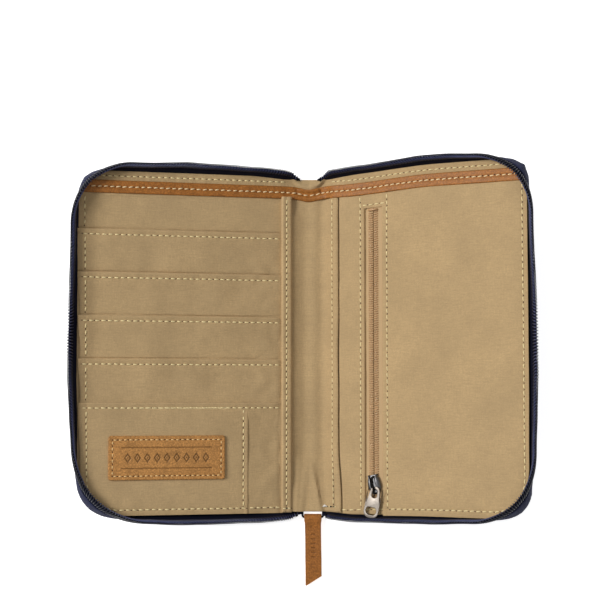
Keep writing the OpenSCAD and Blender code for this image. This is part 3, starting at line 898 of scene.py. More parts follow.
# one coil turn as (w, outward offset, offset along), and how much painted glint it gets at each
# point
TOOTH = [(6.2, -0.60, -0.12), (7.1, -0.76, -0.08), (7.84, -0.56, -0.04), (8.20, -0.12, 0.0),
         (8.14, 0.28, 0.02), (7.70, 0.64, 0.05), (7.0, 0.76, 0.09), (6.3, 0.62, 0.12)]
TOOTH_GLINT = np.array([0, 0.15, 1.0, 0.2, 0, 0, 0, 0])

for side, full in FULL.items():
    rim = Rim(side)
    rim.sweep(full + "_cover_side_wall", COVER_WALL, "canvas", step=1.0, ripple=0.10)
    rim.sweep(full + "_zip_tape", TAPE_WALL, "tape", step=0.9, ripple=0.08,
              replaces=(full + "_zip_tape",))
    rim.teeth(full + "_zip_coil", (full + "_zip_coil",))
    # end stops clamped over the toothed edge beside the spine
    for k, end in ((1.2, "top"), (rim.end - 2.6, "bottom")):
        points, faces = tube([rim.at([k], w, out)[0] for w, out in END_CLAMP], 0.36, 10)
        build(f"{full}_zip_{end}_clamp", place(side, points, True), faces, "wire", side,
              replaces=(f"{full}_zip_{end}_stop",))

# ---------------------------------------------------------------- outside covers
COVER_SEAM_U = 6.6                      # stitching beside the spine
COVER_SEAM_INSET = 3.2                  # stitching round the edge
for side, full in FULL.items():
    cover = Sheet(full + "_outer_cover", side, (SPINE_U, WIDTH), (-HALF_H, HALF_H), 0.0, 0.6,
                  (0.05, 26, 31), "canvas", rolls="out", radius=0.58, res=2.0, fine=0.012,
                  clip=((CORNER, LOW_CORNER[side]), 0.0), down=True, bend=True, shrink=0.021,
                  grooves=[("u", COVER_SEAM_U, 0.0, 0.12)],
                  replaces=(full + "_outer_cover", "spine_cover"))
    seam_v, radius = HALF_H - COVER_SEAM_INSET, CORNER - COVER_SEAM_INSET
    corner_u, corner_v = WIDTH - CORNER, HALF_H - CORNER
    spine_line = [(COVER_SEAM_U, -HALF_H + 1.5), (COVER_SEAM_U, HALF_H - 1.5)]
    edge_line = ([(9.5, seam_v)] + arc(corner_u, corner_v, radius, 90, 0, 8)
                 + arc(corner_u, -corner_v, radius, 0, -90, 8) + [(9.5, -seam_v)])
    for place_name, line in (("spine", spine_line), ("edge", edge_line)):
        stitches(f"{full}_cover_{place_name}_stitching", [(cover, line)], "navy_thread",
                 pitch=2.9, length=2.1, radius=0.16)


# ---------------------------------------------------------------- linings and spine
def climb(u, v):
    """Soft rise of the card half's sheets against the standing zip."""
    return 0.95 * rise(u, WIDTH - 7.5, 7.5) * rise(v, -40, 50.0)


# folds fanning out towards the lower end: x at v = -48, x per mm downwards, height, width
FAN = [(-4.32, -0.045, 0.30, 0.9), (-0.864, -0.0975, 0.42, 1.2), (1.872, 0.12, 0.55, 1.1),
       (4.608, 0.075, 0.40, 0.9)]


def spine_relief(x, v):
    """Soft folds of the spine cloth. x is measured across the spine from its middle."""
    wander = 1.1 * noise(2.0, v, 41, 201) + 0.5 * noise(5.0, v, 17, 202)
    h = 0.22 * bell(x - 2.6 - wander, 1.9) - 0.16 * bell(x + 1.0 - wander, 2.2)
    h = h + 0.10 * noise(x, v, 7, 203) * rise(v, -80, 20)
    for fold_x, slope, height, width in FAN:
        h = h + rise(-v, 42, 24.0) * height * bell(x - fold_x - slope * (-48 - v), width)
    # one deeper crease running from the middle down to the right
    crease_x = 0.9 + 0.24 * (-50 - v)
    h = h + (rise(-v, 47, 9.0) * 0.85 * fall(x - crease_x, -0.5, 1.2)
             * rise(x - 0.10 * (v + 50), -7.0, 6.0))
    # a fold crossing the upper end
    across = 0.75 * bell(v - 70.6 - 0.055 * x * x, 1.0) - 0.45 * bell(v - 68.9 - 0.075 * x * x, 0.9)
    return h + rise(v, 66.5, 4.0) * (1 + 0.7 * rise(x, 0.0, 5.0)) * across


def gap_wander(v):
    """Wander of the dark gap beside the passport half's binding."""
    return (0.16 * noise(0, v, 8, 221) + 0.12 * noise(0, v, 21, 222)
            + 1.25 * rise(-v, 44, 26.0))


def make_lining(side, seed):
    """The lining's upper strip and half of the spine's cloth. Returns the latter."""
    full, card = FULL[side], side == "L"

    def folds(u, v):
        return spine_relief((-1.0 if card else 1.0) * (u - SPINE_U), v)

    def strip_shape(u, v):
        return (0.70 if card else 1.45) * rise(u, -5, 15.0) + (climb(u, v) if card else 0)

    def strip_folds(u, v):
        return (folds(u, v) * fall(u, -2.5, 5.0)
                + 0.15 * noise(u, v, 6, 212) * rise(u, -2, 6))

    def spine_shape(u, v):
        raised = 0.90 * rise(-v, 60, 4.4) * fall(u, -2, 5)
        if card:
            return (raised * 0.6 + 0.35 * rise(u, -2, 4.0)
                    + 1.9 * rise(u, -6.5, 7.5) * fall(v, 55, 8.0))
        return raised + 2.75 * rise(u, -3.2, 8.2)

    strip = Sheet(full + "_lining_strip", side, (SPINE_U, WIDTH + 0.1), (63.0, HALF_H - 0.02),
                  1.30, 0.36, (0.16, 11, seed), rolls="v1", radius=0.34, res=0.9,
                  clip=(14.6, -0.9) if card else (14.0, 0.2), shape=strip_shape,
                  extra=strip_folds, bend=True, shrink=0.0145,
                  grooves=[("v", HALF_H - 2.3, 0.0, 0.26)], replaces=(full + "_lining",))
    stitches(full + "_lining_top_seam",
             [(strip, [(2.6, HALF_H - SEAM), (WIDTH - 8.5, HALF_H - SEAM)])], seed=3)
    return Sheet("spine_lining_" + full, side, (SPINE_U, 2.6 if card else 7.0), (-72.9, 66.5),
                 1.30, 0.34, (0.0, 9, seed + 7), rolls="v0 v1" if card else "v0 v1 u1",
                 radius=0.34 if card else 0.8, res=0.75, fine=0.0, bend=True, shape=spine_shape,
                 extra=lambda u, v: folds(u, v) * (0.25 + 0.75 * fall(u, -1.0, 4.0)),
                 grooves=[] if card else [("u", 4.0, 0.0, 0.24)],
                 shift=level if card else lambda u, v: gap_wander(v) * rise(u, 1.0, 5.0),
                 replaces=("spine_lining",) if card else ("spine_lining", "right_edge_binding"))


make_lining("L", 41)
spine_right = make_lining("R", 44)
stitches("passport_half_binding_stitching",
         [(spine_right, [(4.0, 64.2), (4.0, -44.0), (4.55, -60.0), (4.75, -69.6)])],
         pitch=2.62, seed=14)

# ---------------------------------------------------------------- leather trim along the top
TRIM_V = (64.2, 69.7)
TRIM_SEAM = sum(TRIM_V) / 2


def trim_pinch(u, v):
    """Crease and swellings where the trim is drawn together over the spine."""
    x = u - SPINE_U
    crease = -0.80 * bell(x - 6.0 + 0.5 * (v - 67), 0.55) * rise(v, 66.0, 1.6)
    pouch = 0.75 * bell(v - 68.7, 0.8) * fall(x, 4.4, 1.6)
    belly = 0.30 * bell(v - 65.6, 0.9) * fall(x, 5.5, 3.0)
    furrow = 0.12 * noise(u, v, 2.2, 301) - 0.25 * bell(v - 67.7, 0.5)
    return crease + pouch + belly + fall(u, -4.5, 5.0) * furrow


def make_trim(side, end, w, drop, clip, wave, lift, replaces):
    """Half of the trim. It drops towards the spine and dips along v over it."""
    return Sheet(f"leather_trim_{FULL[side]}_half", side, (SPINE_U, WIDTH + end), TRIM_V, w, 0.95,
                 wave, "trim", rolls="v0 v1", radius=0.42, res=0.8, fine=0.04, clip=clip,
                 bend=True, shape=lambda u, v: -drop * fall(u, -6, 10.0) + lift(u, v),
                 extra=trim_pinch, dip=lambda u: -1.25 * bell(u - SPINE_U, 4.6),
                 grooves=[("v", TRIM_SEAM, 0.0, 0.26)], replaces=replaces)


trim_left = make_trim("L", end=0.3, w=2.45, drop=0.75, clip=(15.6, -0.7), wave=(0.13, 17, 51),
                      lift=climb, replaces=("leather_trim_left", "leather_trim_spine"))
trim_right = make_trim("R", end=0.8, w=4.0, drop=2.30, clip=(17.0, -0.3), wave=(0.13, 19, 54),
                       lift=level, replaces=("leather_trim_right",))
for trim, inset, slant in ((trim_left, 4.2, -0.16), (trim_right, 2.6, 0.16)):
    stitches("leather_trim_stitching_" + FULL[trim.side],
             [(trim, [(-7.9, TRIM_SEAM), (WIDTH - inset, TRIM_SEAM)])],
             "trim_thread", pitch=2.65, length=1.85, slant=slant)

# ---------------------------------------------------------------- card half
FOLDS = [48.6 - 18.5 * k for k in range(4)] + [-25.5]   # v of the pockets' folded edges
CARD_SEAM = (90.1, 0.015)               # outer stitching: u at v = 0, u per mm of v
CARD_GROOVE = ("u", *CARD_SEAM)
CARD_BOTTOM = -70.9                     # stitching along the bottom
GAP = 0.28                              # dark line above the next pocket's fold


def on_card_seam(v):
    return CARD_SEAM[0] + CARD_SEAM[1] * v, v


slip = Sheet("slip_pocket_panel", "L", (1.9, WIDTH + 1.2), (-HALF_H + 0.8, 67.0), 2.05, 0.34,
             (0.20, 21, 61), res=1.3,
             clip=((14.2, 20.0), lambda v: -1.1 + 1.6 * rise(-v, -30, 40.0)), shape=climb,
             grooves=[(*CARD_GROOVE, 0.2)], gaps=(FOLDS[0] + GAP,),
             replaces=("left_slip_pocket_panel",))

# per card pocket: wave height, inset at the fold, inset added below it
CARD_POCKETS = [(0.16, -1.35, 0.55), (0.19, -0.9, 1.2), (0.22, -0.62, 1.3), (0.16, -0.35, 1.2),
                (0.19, 0.15, 0.7)]


def make_card_pocket(k):
    fold = FOLDS[k]
    amp, inset, inset_below = CARD_POCKETS[k]

    def lip(u, v):
        return np.exp(-(fold - v) / 1.6) * rise(u, 4, 4)

    def gape(u, v):
        below = fold - v
        x = np.clip((u - 5.6) / (91.9 - 5.6), 0, 1)
        bow = 0.22 * np.sin(x * math.pi) * np.exp(-below / 7.0)
        hem = 0.24 * fall(below, 6.0, 1.0)
        pillow = 0.55 * np.sin(np.clip(below / 18.5, 0, 1) * math.pi)
        pillow = pillow * noise(u, v * 0.3, 10, 131 + k)
        pull = 0.30 * bell(u - 12, 9.0) * noise(u + v, v - u, 5, 171 + k)
        return bow + hem + pillow + pull - 0.30 * k * fall(u, 3.0, 4.0) + 0.40 * lip(u, v)

    return Sheet(f"card_pocket_panel_{k + 1}", "L", (3.0, WIDTH + 1.5),
                 (-HALF_H + 0.9 - 0.05 * k, fold), 2.4 + 0.34 * k, 0.34,
                 (amp, 16 + 2 * k, 70 + 3 * k), rolls="v1", radius=0.46, res=1.25, extra=gape,
                 clip=((15.0, 20.0), lambda v: inset + inset_below * rise(fold - v, 1.0, 15.0)),
                 shape=climb, under=lambda u, v: 0.42 * lip(u, v),
                 grooves=[("v", fold - SEAM, 0.0, 0.2), (*CARD_GROOVE, 0.17)],
                 gaps=(FOLDS[k + 1] + GAP,) if k < 3 else (),
                 replaces=(f"card_pocket_{k + 1}",))


runs = []
for k, fold in enumerate(FOLDS):
    pocket = make_card_pocket(k)
    runs.append((pocket, [(5.6, fold - SEAM), (WIDTH - 1.0, fold - SEAM)]))
    if k < 4:
        runs.append((pocket, [on_card_seam(fold - 3.2), on_card_seam(FOLDS[k + 1] + 1.2)]))
stitches("card_pocket_stitching", runs, seed=6)

CORNER_SEAM_U = 21.9                    # stitching up the corner pocket's inner edge
corner = Sheet("corner_pocket_panel", "L", (19.8, WIDTH + 0.4),
               (-HALF_H + 0.75, FOLDS[4] - 0.05), 4.25, 0.36, (0.20, 19, 91), rolls="u0 v1",
               radius=0.5, res=1.2,
               clip=((15.5, 19.0), lambda v: -0.1 + 1.2 * rise(-v, 28, 24.0)),
               extra=lambda u, v: 0.21 * noise(u, v, 11, 191) * bell(u - 30, 14.0),
               grooves=[("u", CORNER_SEAM_U, 0.0, 0.22), ("v", FOLDS[4] - SEAM, 0.0, 0.22),
                        ("v", CARD_BOTTOM, 0.0, 0.2), (*CARD_GROOVE, 0.2)],
               replaces=("corner_pocket",))
turn_u, turn_v = on_card_seam(CARD_BOTTOM + SEAM_CORNER)
stitches("corner_pocket_stitching", [
    (corner, [(CORNER_SEAM_U, FOLDS[4] - 2.4), (CORNER_SEAM_U, -70.4)]),
    (corner, [(22.8, FOLDS[4] - SEAM), (89.4, FOLDS[4] - SEAM)]),
    (corner, [(on_card_seam(FOLDS[4])[0], FOLDS[4] - 3.4)]
     + arc(turn_u - SEAM_CORNER, turn_v, SEAM_CORNER, 0, -90, 8) + [(20.4, CARD_BOTTOM)])],
    seed=8)
stitches("card_half_bottom_stitching", [(pocket, [(19.4, CARD_BOTTOM), (5.2, CARD_BOTTOM)])],
         seed=9)
stitches("slip_pocket_stitching",
         [(slip, [on_card_seam(63.2), (on_card_seam(FOLDS[0])[0], FOLDS[0] + 1.2)])], seed=10)

BINDING_SEAM = 2.75
binding = Sheet("card_half_edge_binding", "L", (0.4, 4.9), (-73.2, 64.9), 2.3, 2.55,
                (0.10, 15, 95), rolls="u0 u1 v0", radius=0.85, res=0.75, fine=0.04,
                grooves=[("u", BINDING_SEAM, 0.0, 0.26)], replaces=("left_edge_binding",))
stitches("card_half_binding_stitching", [(binding, [(BINDING_SEAM, 63.9), (BINDING_SEAM, -70.2)])],
         pitch=2.5, seed=11)
stitches("card_half_binding_end_stitching", [(binding, [(4.7, -71.4), (0.7, -71.2)])],
         pitch=2.0, length=1.5, seed=17)

# ---------------------------------------------------------------- label on the corner pocket
LABEL_U = (30.2, 80.3)
LABEL_V = (-58.3, -39.6)
LABEL_SEAM = 1.7                        # stitching in from the edge
LOZENGE_PITCH = 4.2


def label_press(u, v):
    """Pressed ornament: two rules and a row of small nested lozenges between them."""
    x, y = u - sum(LABEL_U) / 2, v - sum(LABEL_V) / 2
    rule = bell(np.abs(y) - 4.4, 0.24) * (np.abs(x) < 19.5)
    cell = (x + LOZENGE_PITCH / 2) % LOZENGE_PITCH - LOZENGE_PITCH / 2
    q = np.abs(cell) / 1.45 + np.abs(y) / 2.1
    outer, inner, core = [rise(size - q, 0.0, soft) * (np.abs(x) < 19.0)
                          for size, soft in ((1.12, 0.16), (0.66, 0.16), (0.26, 0.12))]
    return -0.20 * rule - 0.20 * np.clip(outer - inner + core, 0, 1)


label = Patch("label_patch_tooled", "L", LABEL_U, LABEL_V, 4.5, 1.15, (0.10, 22, 97), "label",
              groove=LABEL_SEAM, pattern=label_press, replaces=("label_patch",))
(low_u, high_u), (low_v, high_v) = [(a + LABEL_SEAM, b - LABEL_SEAM) for a, b in (LABEL_U, LABEL_V)]
corners = [(low_u, low_v), (high_u, low_v), (high_u, high_v), (low_u, high_v)]
stitches("label_stitching", [(label, ends) for ends in zip(corners, corners[1:] + corners[:1])],
         "label_thread", pitch=2.2, length=1.25, radius=0.25, seed=12, slant=0.0)

# ---------------------------------------------------------------- passport half
ZIP_U = 23.85                           # centre line of the inner zip
NARROW_SEAM, WIDE_SEAM = 17.8, 30.35    # stitching on both sides of the zip
OUTER_SEAM, BOTTOM_SEAM = 91.4, -71.2
TAB_SEAM_TOP, TAB_SEAM_LOW = 59.7, -71.3    # stitching across the ends of the zip window

Sheet("passport_pocket_sheet", "R", (4.6, WIDTH + 0.1), (-HALF_H + 0.3, 67.0), 2.1, 0.9,
      (0.14, 23, 101), res=1.8, clip=(15.0, 0.6),
      replaces=("passport_pocket_panel", "zip_pocket_back"))
narrow = Sheet("zip_pocket_narrow_front", "R", (7.55, 19.75), (-HALF_H + 0.7, 65.0), 3.20, 0.9,
               (0.20, 13, 104), rolls="u0 u1", radius=0.7, res=0.8, fine=0.04,
               grooves=[("u", NARROW_SEAM, 0.0, 0.22)],
               extra=lambda u, v: 0.30 * noise(u, v * 0.35, 4.5, 106) * rise(-u, -17, 6),
               shift=lambda u, v: gap_wander(v) * fall(u, 8, 6.0),
               replaces=("zip_pocket_narrow_panel",))
wide = Sheet("zip_pocket_wide_front", "R", (28.0, WIDTH + 0.7), (-HALF_H + 0.05, 65.0), 3.72, 0.6,
             (0.26, 24, 107), rolls="u0", radius=0.8, res=1.25,
             clip=((17.0, 21.0), lambda v: -0.5 + 0.3 * rise(-v, 20, 30.0)),
             grooves=[("u", WIDE_SEAM, 0.0, 0.22), ("u", OUTER_SEAM, 0.0, 0.2),
                      ("v", BOTTOM_SEAM, 0.0, 0.2)], replaces=("zip_pocket_wide_panel",))
tabs = [Sheet(f"zip_window_{end}_end", "R", (19.3, 28.5), v, 3.55, 0.62, (0.07, 7, seed),
              rolls=rolls, res=0.9, grooves=[("v", seam, 0.0, 0.2)],
              replaces=(f"zip_pocket_{end}_tab",))
        for end, v, rolls, seam, seed in (("top", (58.1, 65.0), "v0", TAB_SEAM_TOP, 110),
                                          ("bottom", (-73.3, -68.5), "v1", TAB_SEAM_LOW, 112))]
stitches("zip_pocket_stitching", [
    (narrow, [(NARROW_SEAM, 63.8), (NARROW_SEAM, -70.4)]),
    (tabs[0], [(18.6, TAB_SEAM_TOP), (29.6, TAB_SEAM_TOP)]),
    (wide, [(WIDE_SEAM, 63.8), (WIDE_SEAM, -70.6)]),
    (wide, [(OUTER_SEAM, 63.4)]
     + arc(OUTER_SEAM - SEAM_CORNER, BOTTOM_SEAM + SEAM_CORNER, SEAM_CORNER, 0, -90, 8)
     + [(31.4, BOTTOM_SEAM)]),
    (tabs[1], [(28.8, TAB_SEAM_LOW), (19.6, TAB_SEAM_LOW)]),
    (narrow, [(18.6, -71.5), (8.0, -71.8)])], seed=13)
stitches("spine_end_stitching", [(spine_right, [(6.6, -70.7), (1.0, -70.5)])], pitch=2.3,
         length=1.7, radius=0.30, seed=15)

# ---------------------------------------------------------------- inner zip
for full, span, rolls, seed, droop in (
        ("left", (18.6, ZIP_U - 0.12), "u1", 121, lambda u, v: -0.80 * rise(ZIP_U - u, 3.0, 0.8)),
        ("right", (ZIP_U + 0.12, 29.2), "u0", 122, lambda u, v: -0.15 * rise(u - ZIP_U, 2.4, 2.2))):
    Sheet(f"pocket_zip_tape_{full}_half", "R", span, (-70.2, 61.5), 3.3, 0.3, (0.07, 11, seed),
          "inner_tape", rolls=rolls, radius=0.16, res=0.8, fine=0.02, turn_uv=True, shape=droop,
          replaces=("pocket_zip_tape_" + full,))

TURN_PITCH = 0.98
# a turn arching up from the tape and back: out from the centre line, along v, w, share of jitter
COIL_TURN = [(2.15, 0.10, 3.62, 0), (2.0, 0.08, 3.98, 1), (1.35, 0.02, 4.16, 1),
             (0.75, -0.04, 4.12, 1), (0.42, -0.08, 3.88, 1), (0.36, -0.08, 3.55, 0)]
for full, sign in (("left", -1), ("right", 1)):
    random = np.random.RandomState(131 + sign)
    turns = []
    for v in np.arange(-66.6, 56.8, TURN_PITCH) + (TURN_PITCH / 2 if sign > 0 else 0):
        jitter = random.uniform(-0.03, 0.03)
        turns.append(tube([(ZIP_U + sign * out, v + along, w + jitter * share)
                           for out, along, w, share in COIL_TURN], 0.235, 6))
    points, faces = join(turns)
    build(f"pocket_zip_coil_{full}_turns", place("R", points), faces, "inner_coil", BODY["R"],
          replaces=("pocket_zip_coil_" + full,))

ZIP_CLAMP = [(-2.0, 3.6), (-1.8, 4.3), (-0.9, 4.6), (0.9, 4.6), (1.8, 4.3), (2.0, 3.6)]  # across, w
for end, v, material in (("top", 57.3, "inner_coil"), ("bottom", -67.6, "gunmetal")):
    points, faces = tube([(ZIP_U + x, v, w) for x, w in ZIP_CLAMP], 0.45)
    build(f"pocket_zip_{end}_clamp", place("R", points), faces, material, BODY["R"],
          replaces=(f"pocket_zip_{end}_stop",))

# ---------------------------------------------------------------- slider of the inner zip
SLIDER_V = -60.8
SLIDER_HALF = 4.3                       # half its length


def slider_body():
    """Two curved wings beside a channel, drawn in towards the lower end."""
    y = np.linspace(SLIDER_HALF, -SLIDER_HALF, 60)[:, None]
    t = (SLIDER_HALF - y) / (2 * SLIDER_HALF)
    waist = 0.62                        # share of the length where it is widest
    widen = 2.35 + 0.62 * np.sin(np.clip(t / waist, 0, 1) * math.pi / 2)
    narrow = 2.97 - 1.75 * (1 - np.cos(np.clip((t - waist) / 0.38, 0, 1) * math.pi / 2))
    half = np.where(t < waist, widen, narrow) - 0.25 * bell(t - 0.12, 0.07)
    channel = 1.25 - 0.40 * rise(t, 0.55, 0.35) + 0.25 * fall(t, 0.0, 0.18)
    x = np.linspace(-1, 1, 61) * half
    past = np.abs(x) - channel
    ridge = np.clip(past / np.maximum(half - channel, 0.2), 0, 1)
    crest = 5.55 + 0.42 * np.sin(np.clip(t * 1.25, 0, 1) * math.pi) - 0.55 * rise(t, 0.66, 0.3)
    top = crest - 1.05 * ridge ** 2.2 + 0.12 * np.sin(ridge * math.pi)
    floor_w, under_w = 4.55, 3.5        # channel floor and underside
    w = floor_w + (top - floor_w) * rise(past, -0.16, 0.22)
    w = w - roll_off(np.minimum(t, 1 - t) * 2 * SLIDER_HALF, 0.35)
    # the underside is a little smaller
    layers = [np.stack(np.broadcast_arrays(ZIP_U + x * across, SLIDER_V + y * along, height), -1)
              for across, along, height in ((1, 1, w), (0.9, 0.98, under_w))]
    return np.concatenate([layer.reshape(-1, 3) for layer in layers]), slab_faces(60, 61)


def turn_slider(points, degrees, aside):
    """Turns points about the slider's middle and moves them across the zip."""
    a = math.radians(degrees)
    x, y = points[:, 0] - ZIP_U, points[:, 1] - SLIDER_V
    return np.stack([ZIP_U + aside + x * math.cos(a) - y * math.sin(a),
                     SLIDER_V + x * math.sin(a) + y * math.cos(a), points[:, 2]], 1)


points, faces = slider_body()
sharpen(build("pocket_slider_wings", place("R", turn_slider(points, degrees=11.0, aside=0.5)),
              faces, "gunmetal", "pocket_slider", replaces=("pocket_slider_body",)), 50)

# arch over the slider: v from its middle, w
ARCH = np.array([(3.5, 4.4), (3.4, 5.5), (3.0, 6.1), (2.2, 6.55), (1.0, 6.75), (-1.0, 7.0),
                 (-2.6, 7.08), (-3.4, 6.75), (-3.7, 6.0), (-3.72, 4.6)])


def slider_arch():
    stations = np.linspace(0, len(ARCH) - 1, 46)
    v, w = [np.interp(stations, range(len(ARCH)), column) for column in ARCH.T]
    path = np.stack([np.full(46, ZIP_U), SLIDER_V + v, w], 1)
    for _ in range(4):
        path[1:-1] = (path[:-2] + 2 * path[1:-1] + path[2:]) / 4
    points, faces = tube(path, 0.32, 14)
    points[:, 0] = ZIP_U + (points[:, 0] - ZIP_U) * 1.5
    return points, faces


points, faces = slider_arch()
# the arch gets the slider's gunmetal painted near black, painted shade
build("pocket_slider_arch", place("R", turn_slider(points, degrees=12.0, aside=0.75)), faces,
      "dark_gunmetal", "pocket_slider", replaces=("pocket_slider_bridge",))


# ---------------------------------------------------------------- metal pull tab of the slider
def plate_mesh(loops, half, bevel):
    """Points and faces of a flat plate with rounded edges about z = 0: outline, then holes."""
    curve = bpy.data.curves.new("tmp_outline", "CURVE")
    curve.dimensions = "2D"
    curve.fill_mode = "BOTH"
    curve.extrude = half - bevel
    curve.bevel_depth = bevel
    curve.bevel_resolution = 3
    for loop in loops:
        spline = curve.splines.new("POLY")
        spline.points.add(len(loop) - 1)
        for point, (x, y) in zip(spline.points, loop):
            point.co = (x, y, 0, 1)
        spline.use_cyclic_u = True
    ob = bpy.data.objects.new("tmp_outline", curve)
    bpy.context.scene.collection.objects.link(ob)
    bpy.context.view_layer.update()
    graph = bpy.context.evaluated_depsgraph_get()
    mesh = bpy.data.meshes.new_from_object(ob.evaluated_get(graph))
    points = np.array([vertex.co[:] for vertex in mesh.vertices])
    faces = [tuple(polygon.vertices) for polygon in mesh.polygons]
    bpy.data.objects.remove(ob)
    bpy.data.curves.remove(curve)
    bpy.data.meshes.remove(mesh)
    return points, faces


def weld(points, faces, tolerance=1e-4):
    """Merges points that coincide and drops faces that collapse."""
    index, kept, new = {}, [], []
    for point in points:
        key = tuple(np.round(point / tolerance).astype(int))
        if key not in index:
            index[key] = len(kept)
            kept.append(point)
        new.append(index[key])
    welded = []
    for face in faces:
        ring = []
        for i in face:
            if not ring or ring[-1] != new[i]:
                ring.append(new[i])
        if len(ring) > 2 and ring[0] == ring[-1]:
            ring = ring[:-1]
        if len(set(ring)) > 2:
            welded.append(tuple(ring))
    return np.array(kept), welded


TAB_LENGTH = 12.8
TAB_BEVEL = 0.16                        # outlines are drawn in by the bevel
TAB_PIVOT = (ZIP_U + 1.7, SLIDER_V - 2.0, 5.85)
TAB_TURN = math.radians(-13)
TAB_SIDE = [(3.42, 6.15 - TAB_LENGTH), (3.38, -7.6), (3.05, -5.4), (2.62, -3.4), (2.42, -2.0),
            (2.30, -0.9)]               # half width at y, from the far end to the pivot


def pull_tab():
    side = [(x - TAB_BEVEL, y) for x, y in TAB_SIDE]
    end_y, end_r = 3.3 - TAB_LENGTH, 2.82 - TAB_BEVEL
    outline = (arc(0.0, -0.95, 2.20 - TAB_BEVEL, 20, 160, 18) + [(-x, y) for x, y in side[::-1]]
               + arc(-0.65, end_y, end_r, 190, 270, 12) + arc(0.65, end_y, end_r, 270, 350, 12)
               + side)
    upper_hole = (arc(0, -2.45, 1.28 + TAB_BEVEL, 180, 360)
                  + arc(0, -1.05, 1.16 + TAB_BEVEL, 0, 180))
    hole_y, hole_r = 3.55 - TAB_LENGTH, 1.82 + TAB_BEVEL
    lower_hole = arc(0.6, hole_y, hole_r, -90, 60, 14) + arc(-0.6, hole_y, hole_r, 120, 270, 14)
    points, faces = weld(*plate_mesh([outline, upper_hole, lower_hole], 0.4, TAB_BEVEL))
    x, y, z = points.T
    z = z * (1.0 + 0.25 * rise(-y, 6.0, 3.0))       # thicker at the far end
    cos, sin = math.cos(TAB_TURN), math.sin(TAB_TURN)
    return np.stack([x * cos - y * sin, x * sin + y * cos, z], 1) + TAB_PIVOT, faces


points, faces = pull_tab()
sharpen(build("pocket_pull_tab_plate", place("R", points), faces, "nickel", "pocket_pull",
              replaces=("pocket_pull_tab",)), 50)

# ---------------------------------------------------------------- leather pull of the main zip
PULL_X, PULL_Y, PULL_Z = joint_mm("leather_pull_swing")
PULL_END_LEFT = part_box("leather_pull")[0][1] * 1000     # y of the slanted end, left and right
PULL_END_RIGHT = PULL_END_LEFT + 4.3
PULL_HALF_THICK = 0.42
PULL_COLS, PULL_ROWS, PULL_LOOP_ROWS = 57, 110, 25


def pull_end(t):
    """y of the slanted end at t from -1 on the left to 1 on the right."""
    return PULL_END_LEFT + (PULL_END_RIGHT - PULL_END_LEFT) * (t + 1) / 2


def leather_pull():
    """A strip folded round the wire: lower layer, loop and upper layer, as one closed band."""
    t = np.linspace(-1, 1, PULL_COLS)
    rows = []                           # y, z, normal y, normal z

    def add_layer(shares, sign):
        for share in shares:            # 0 beside the wire, 1 at the slanted end
            off = 0.46 + 0.56 * fall(share * 27.0, 0.0, 5.2)
            y = PULL_Y - 0.2
            rows.append((y + share * (pull_end(t) - y), PULL_Z + sign * off, 0.0, sign))

    add_layer([1 - k / PULL_ROWS for k in range(PULL_ROWS)], -1)
    for k in range(PULL_LOOP_ROWS):
        a = math.radians(-90 + 180 * k / (PULL_LOOP_ROWS - 1))
        cos, sin = math.cos(a), math.sin(a)
        rows.append((PULL_Y + 1.02 * cos, PULL_Z + 1.02 * sin, cos, sin))
    add_layer([k / PULL_ROWS for k in range(1, PULL_ROWS + 1)], 1)

    y = np.array([row[0] + 0 * t for row in rows])
    z, normal_y, normal_z = np.array([row[1:] for row in rows]).T[:, :, None] + 0 * t
    half_width = 3.78 - 0.24 * rise(PULL_Y - y, 1.2, 1.8) + 0.06 * noise(y, 3, 5.0, 141)
    x = t * half_width + 0.012 * (PULL_Y - y)
    middle = np.stack([PULL_X + x, y, z], -1)
    normal = np.stack([0 * x, normal_y, normal_z], -1)

    upper = (np.arange(len(rows)) > PULL_ROWS + 12)[:, None] * 1.0
    # six short tick marks pressed across the upper layer
    ticks = sum(bell(y - (PULL_Y - 7.4 - k * 1.95), 0.26) for k in range(6))
    ticks = ticks * (np.abs(x - 0.2) < 0.95) * upper
    edge = np.minimum((1 - np.abs(t)) * 3.6, np.maximum(y - pull_end(t), 0))
    relief = (0.05 * noise(x, y, 4.2, 143) + 0.10 * noise(0, y, 11, 144) * upper
              - 0.20 * ticks - roll_off(edge, 0.26))
    outer = middle + normal * (PULL_HALF_THICK + relief)[:, :, None]
    inner = middle - normal * PULL_HALF_THICK
    points = np.concatenate([outer.reshape(-1, 3), inner.reshape(-1, 3)])
    back = np.zeros(y.size)
    build("leather_pull_folded", points * MM, slab_faces(*y.shape), "pull", "leather_pull_strap",
          points[:, :2], np.concatenate([edge.ravel() * 0.9, back]),
          np.concatenate([np.clip(ticks, 0, 1).ravel() * 0.8, back]), ("leather_pull",))


leather_pull()
# lighter fibres of the slanted cut end, one roll per layer
points, faces = join([
    tube([(PULL_X + t * 3.4 + 0.32, pull_end(t) + 0.10, PULL_Z + sign * 0.46)
          for t in np.linspace(-1, 1, 24)], 0.36, 10) for sign in (-1, 1)])
build("leather_pull_cut_end", points * MM, faces, "cut_leather", "leather_pull_strap")

# ---------------------------------------------------------------- wire loop of the main slider
BAIL_X, BAIL_Y, BAIL_Z = joint_mm("main_bail_swing")
BAIL_HALF = 4.5                         # half its width
BAIL_CORNER = 0.9
loop = []
for sign, y, start in ((1, BAIL_Y - BAIL_CORNER, 90), (1, PULL_Y + BAIL_CORNER, 0),
                       (-1, PULL_Y + BAIL_CORNER, -90), (-1, BAIL_Y - BAIL_CORNER, 180)):
    loop += arc(BAIL_X + sign * (BAIL_HALF - BAIL_CORNER), y, BAIL_CORNER, start, start - 90, 6)
bail_slope = (PULL_Z - BAIL_Z) / (PULL_Y - BAIL_Y)
points, faces = tube([(x, y, BAIL_Z + bail_slope * (y - BAIL_Y)) for x, y in loop], 0.5, 14,
                     closed=True)
build("main_pull_wire_loop", points * MM, faces, "wire", "main_bail", replaces=("main_pull_bail",))

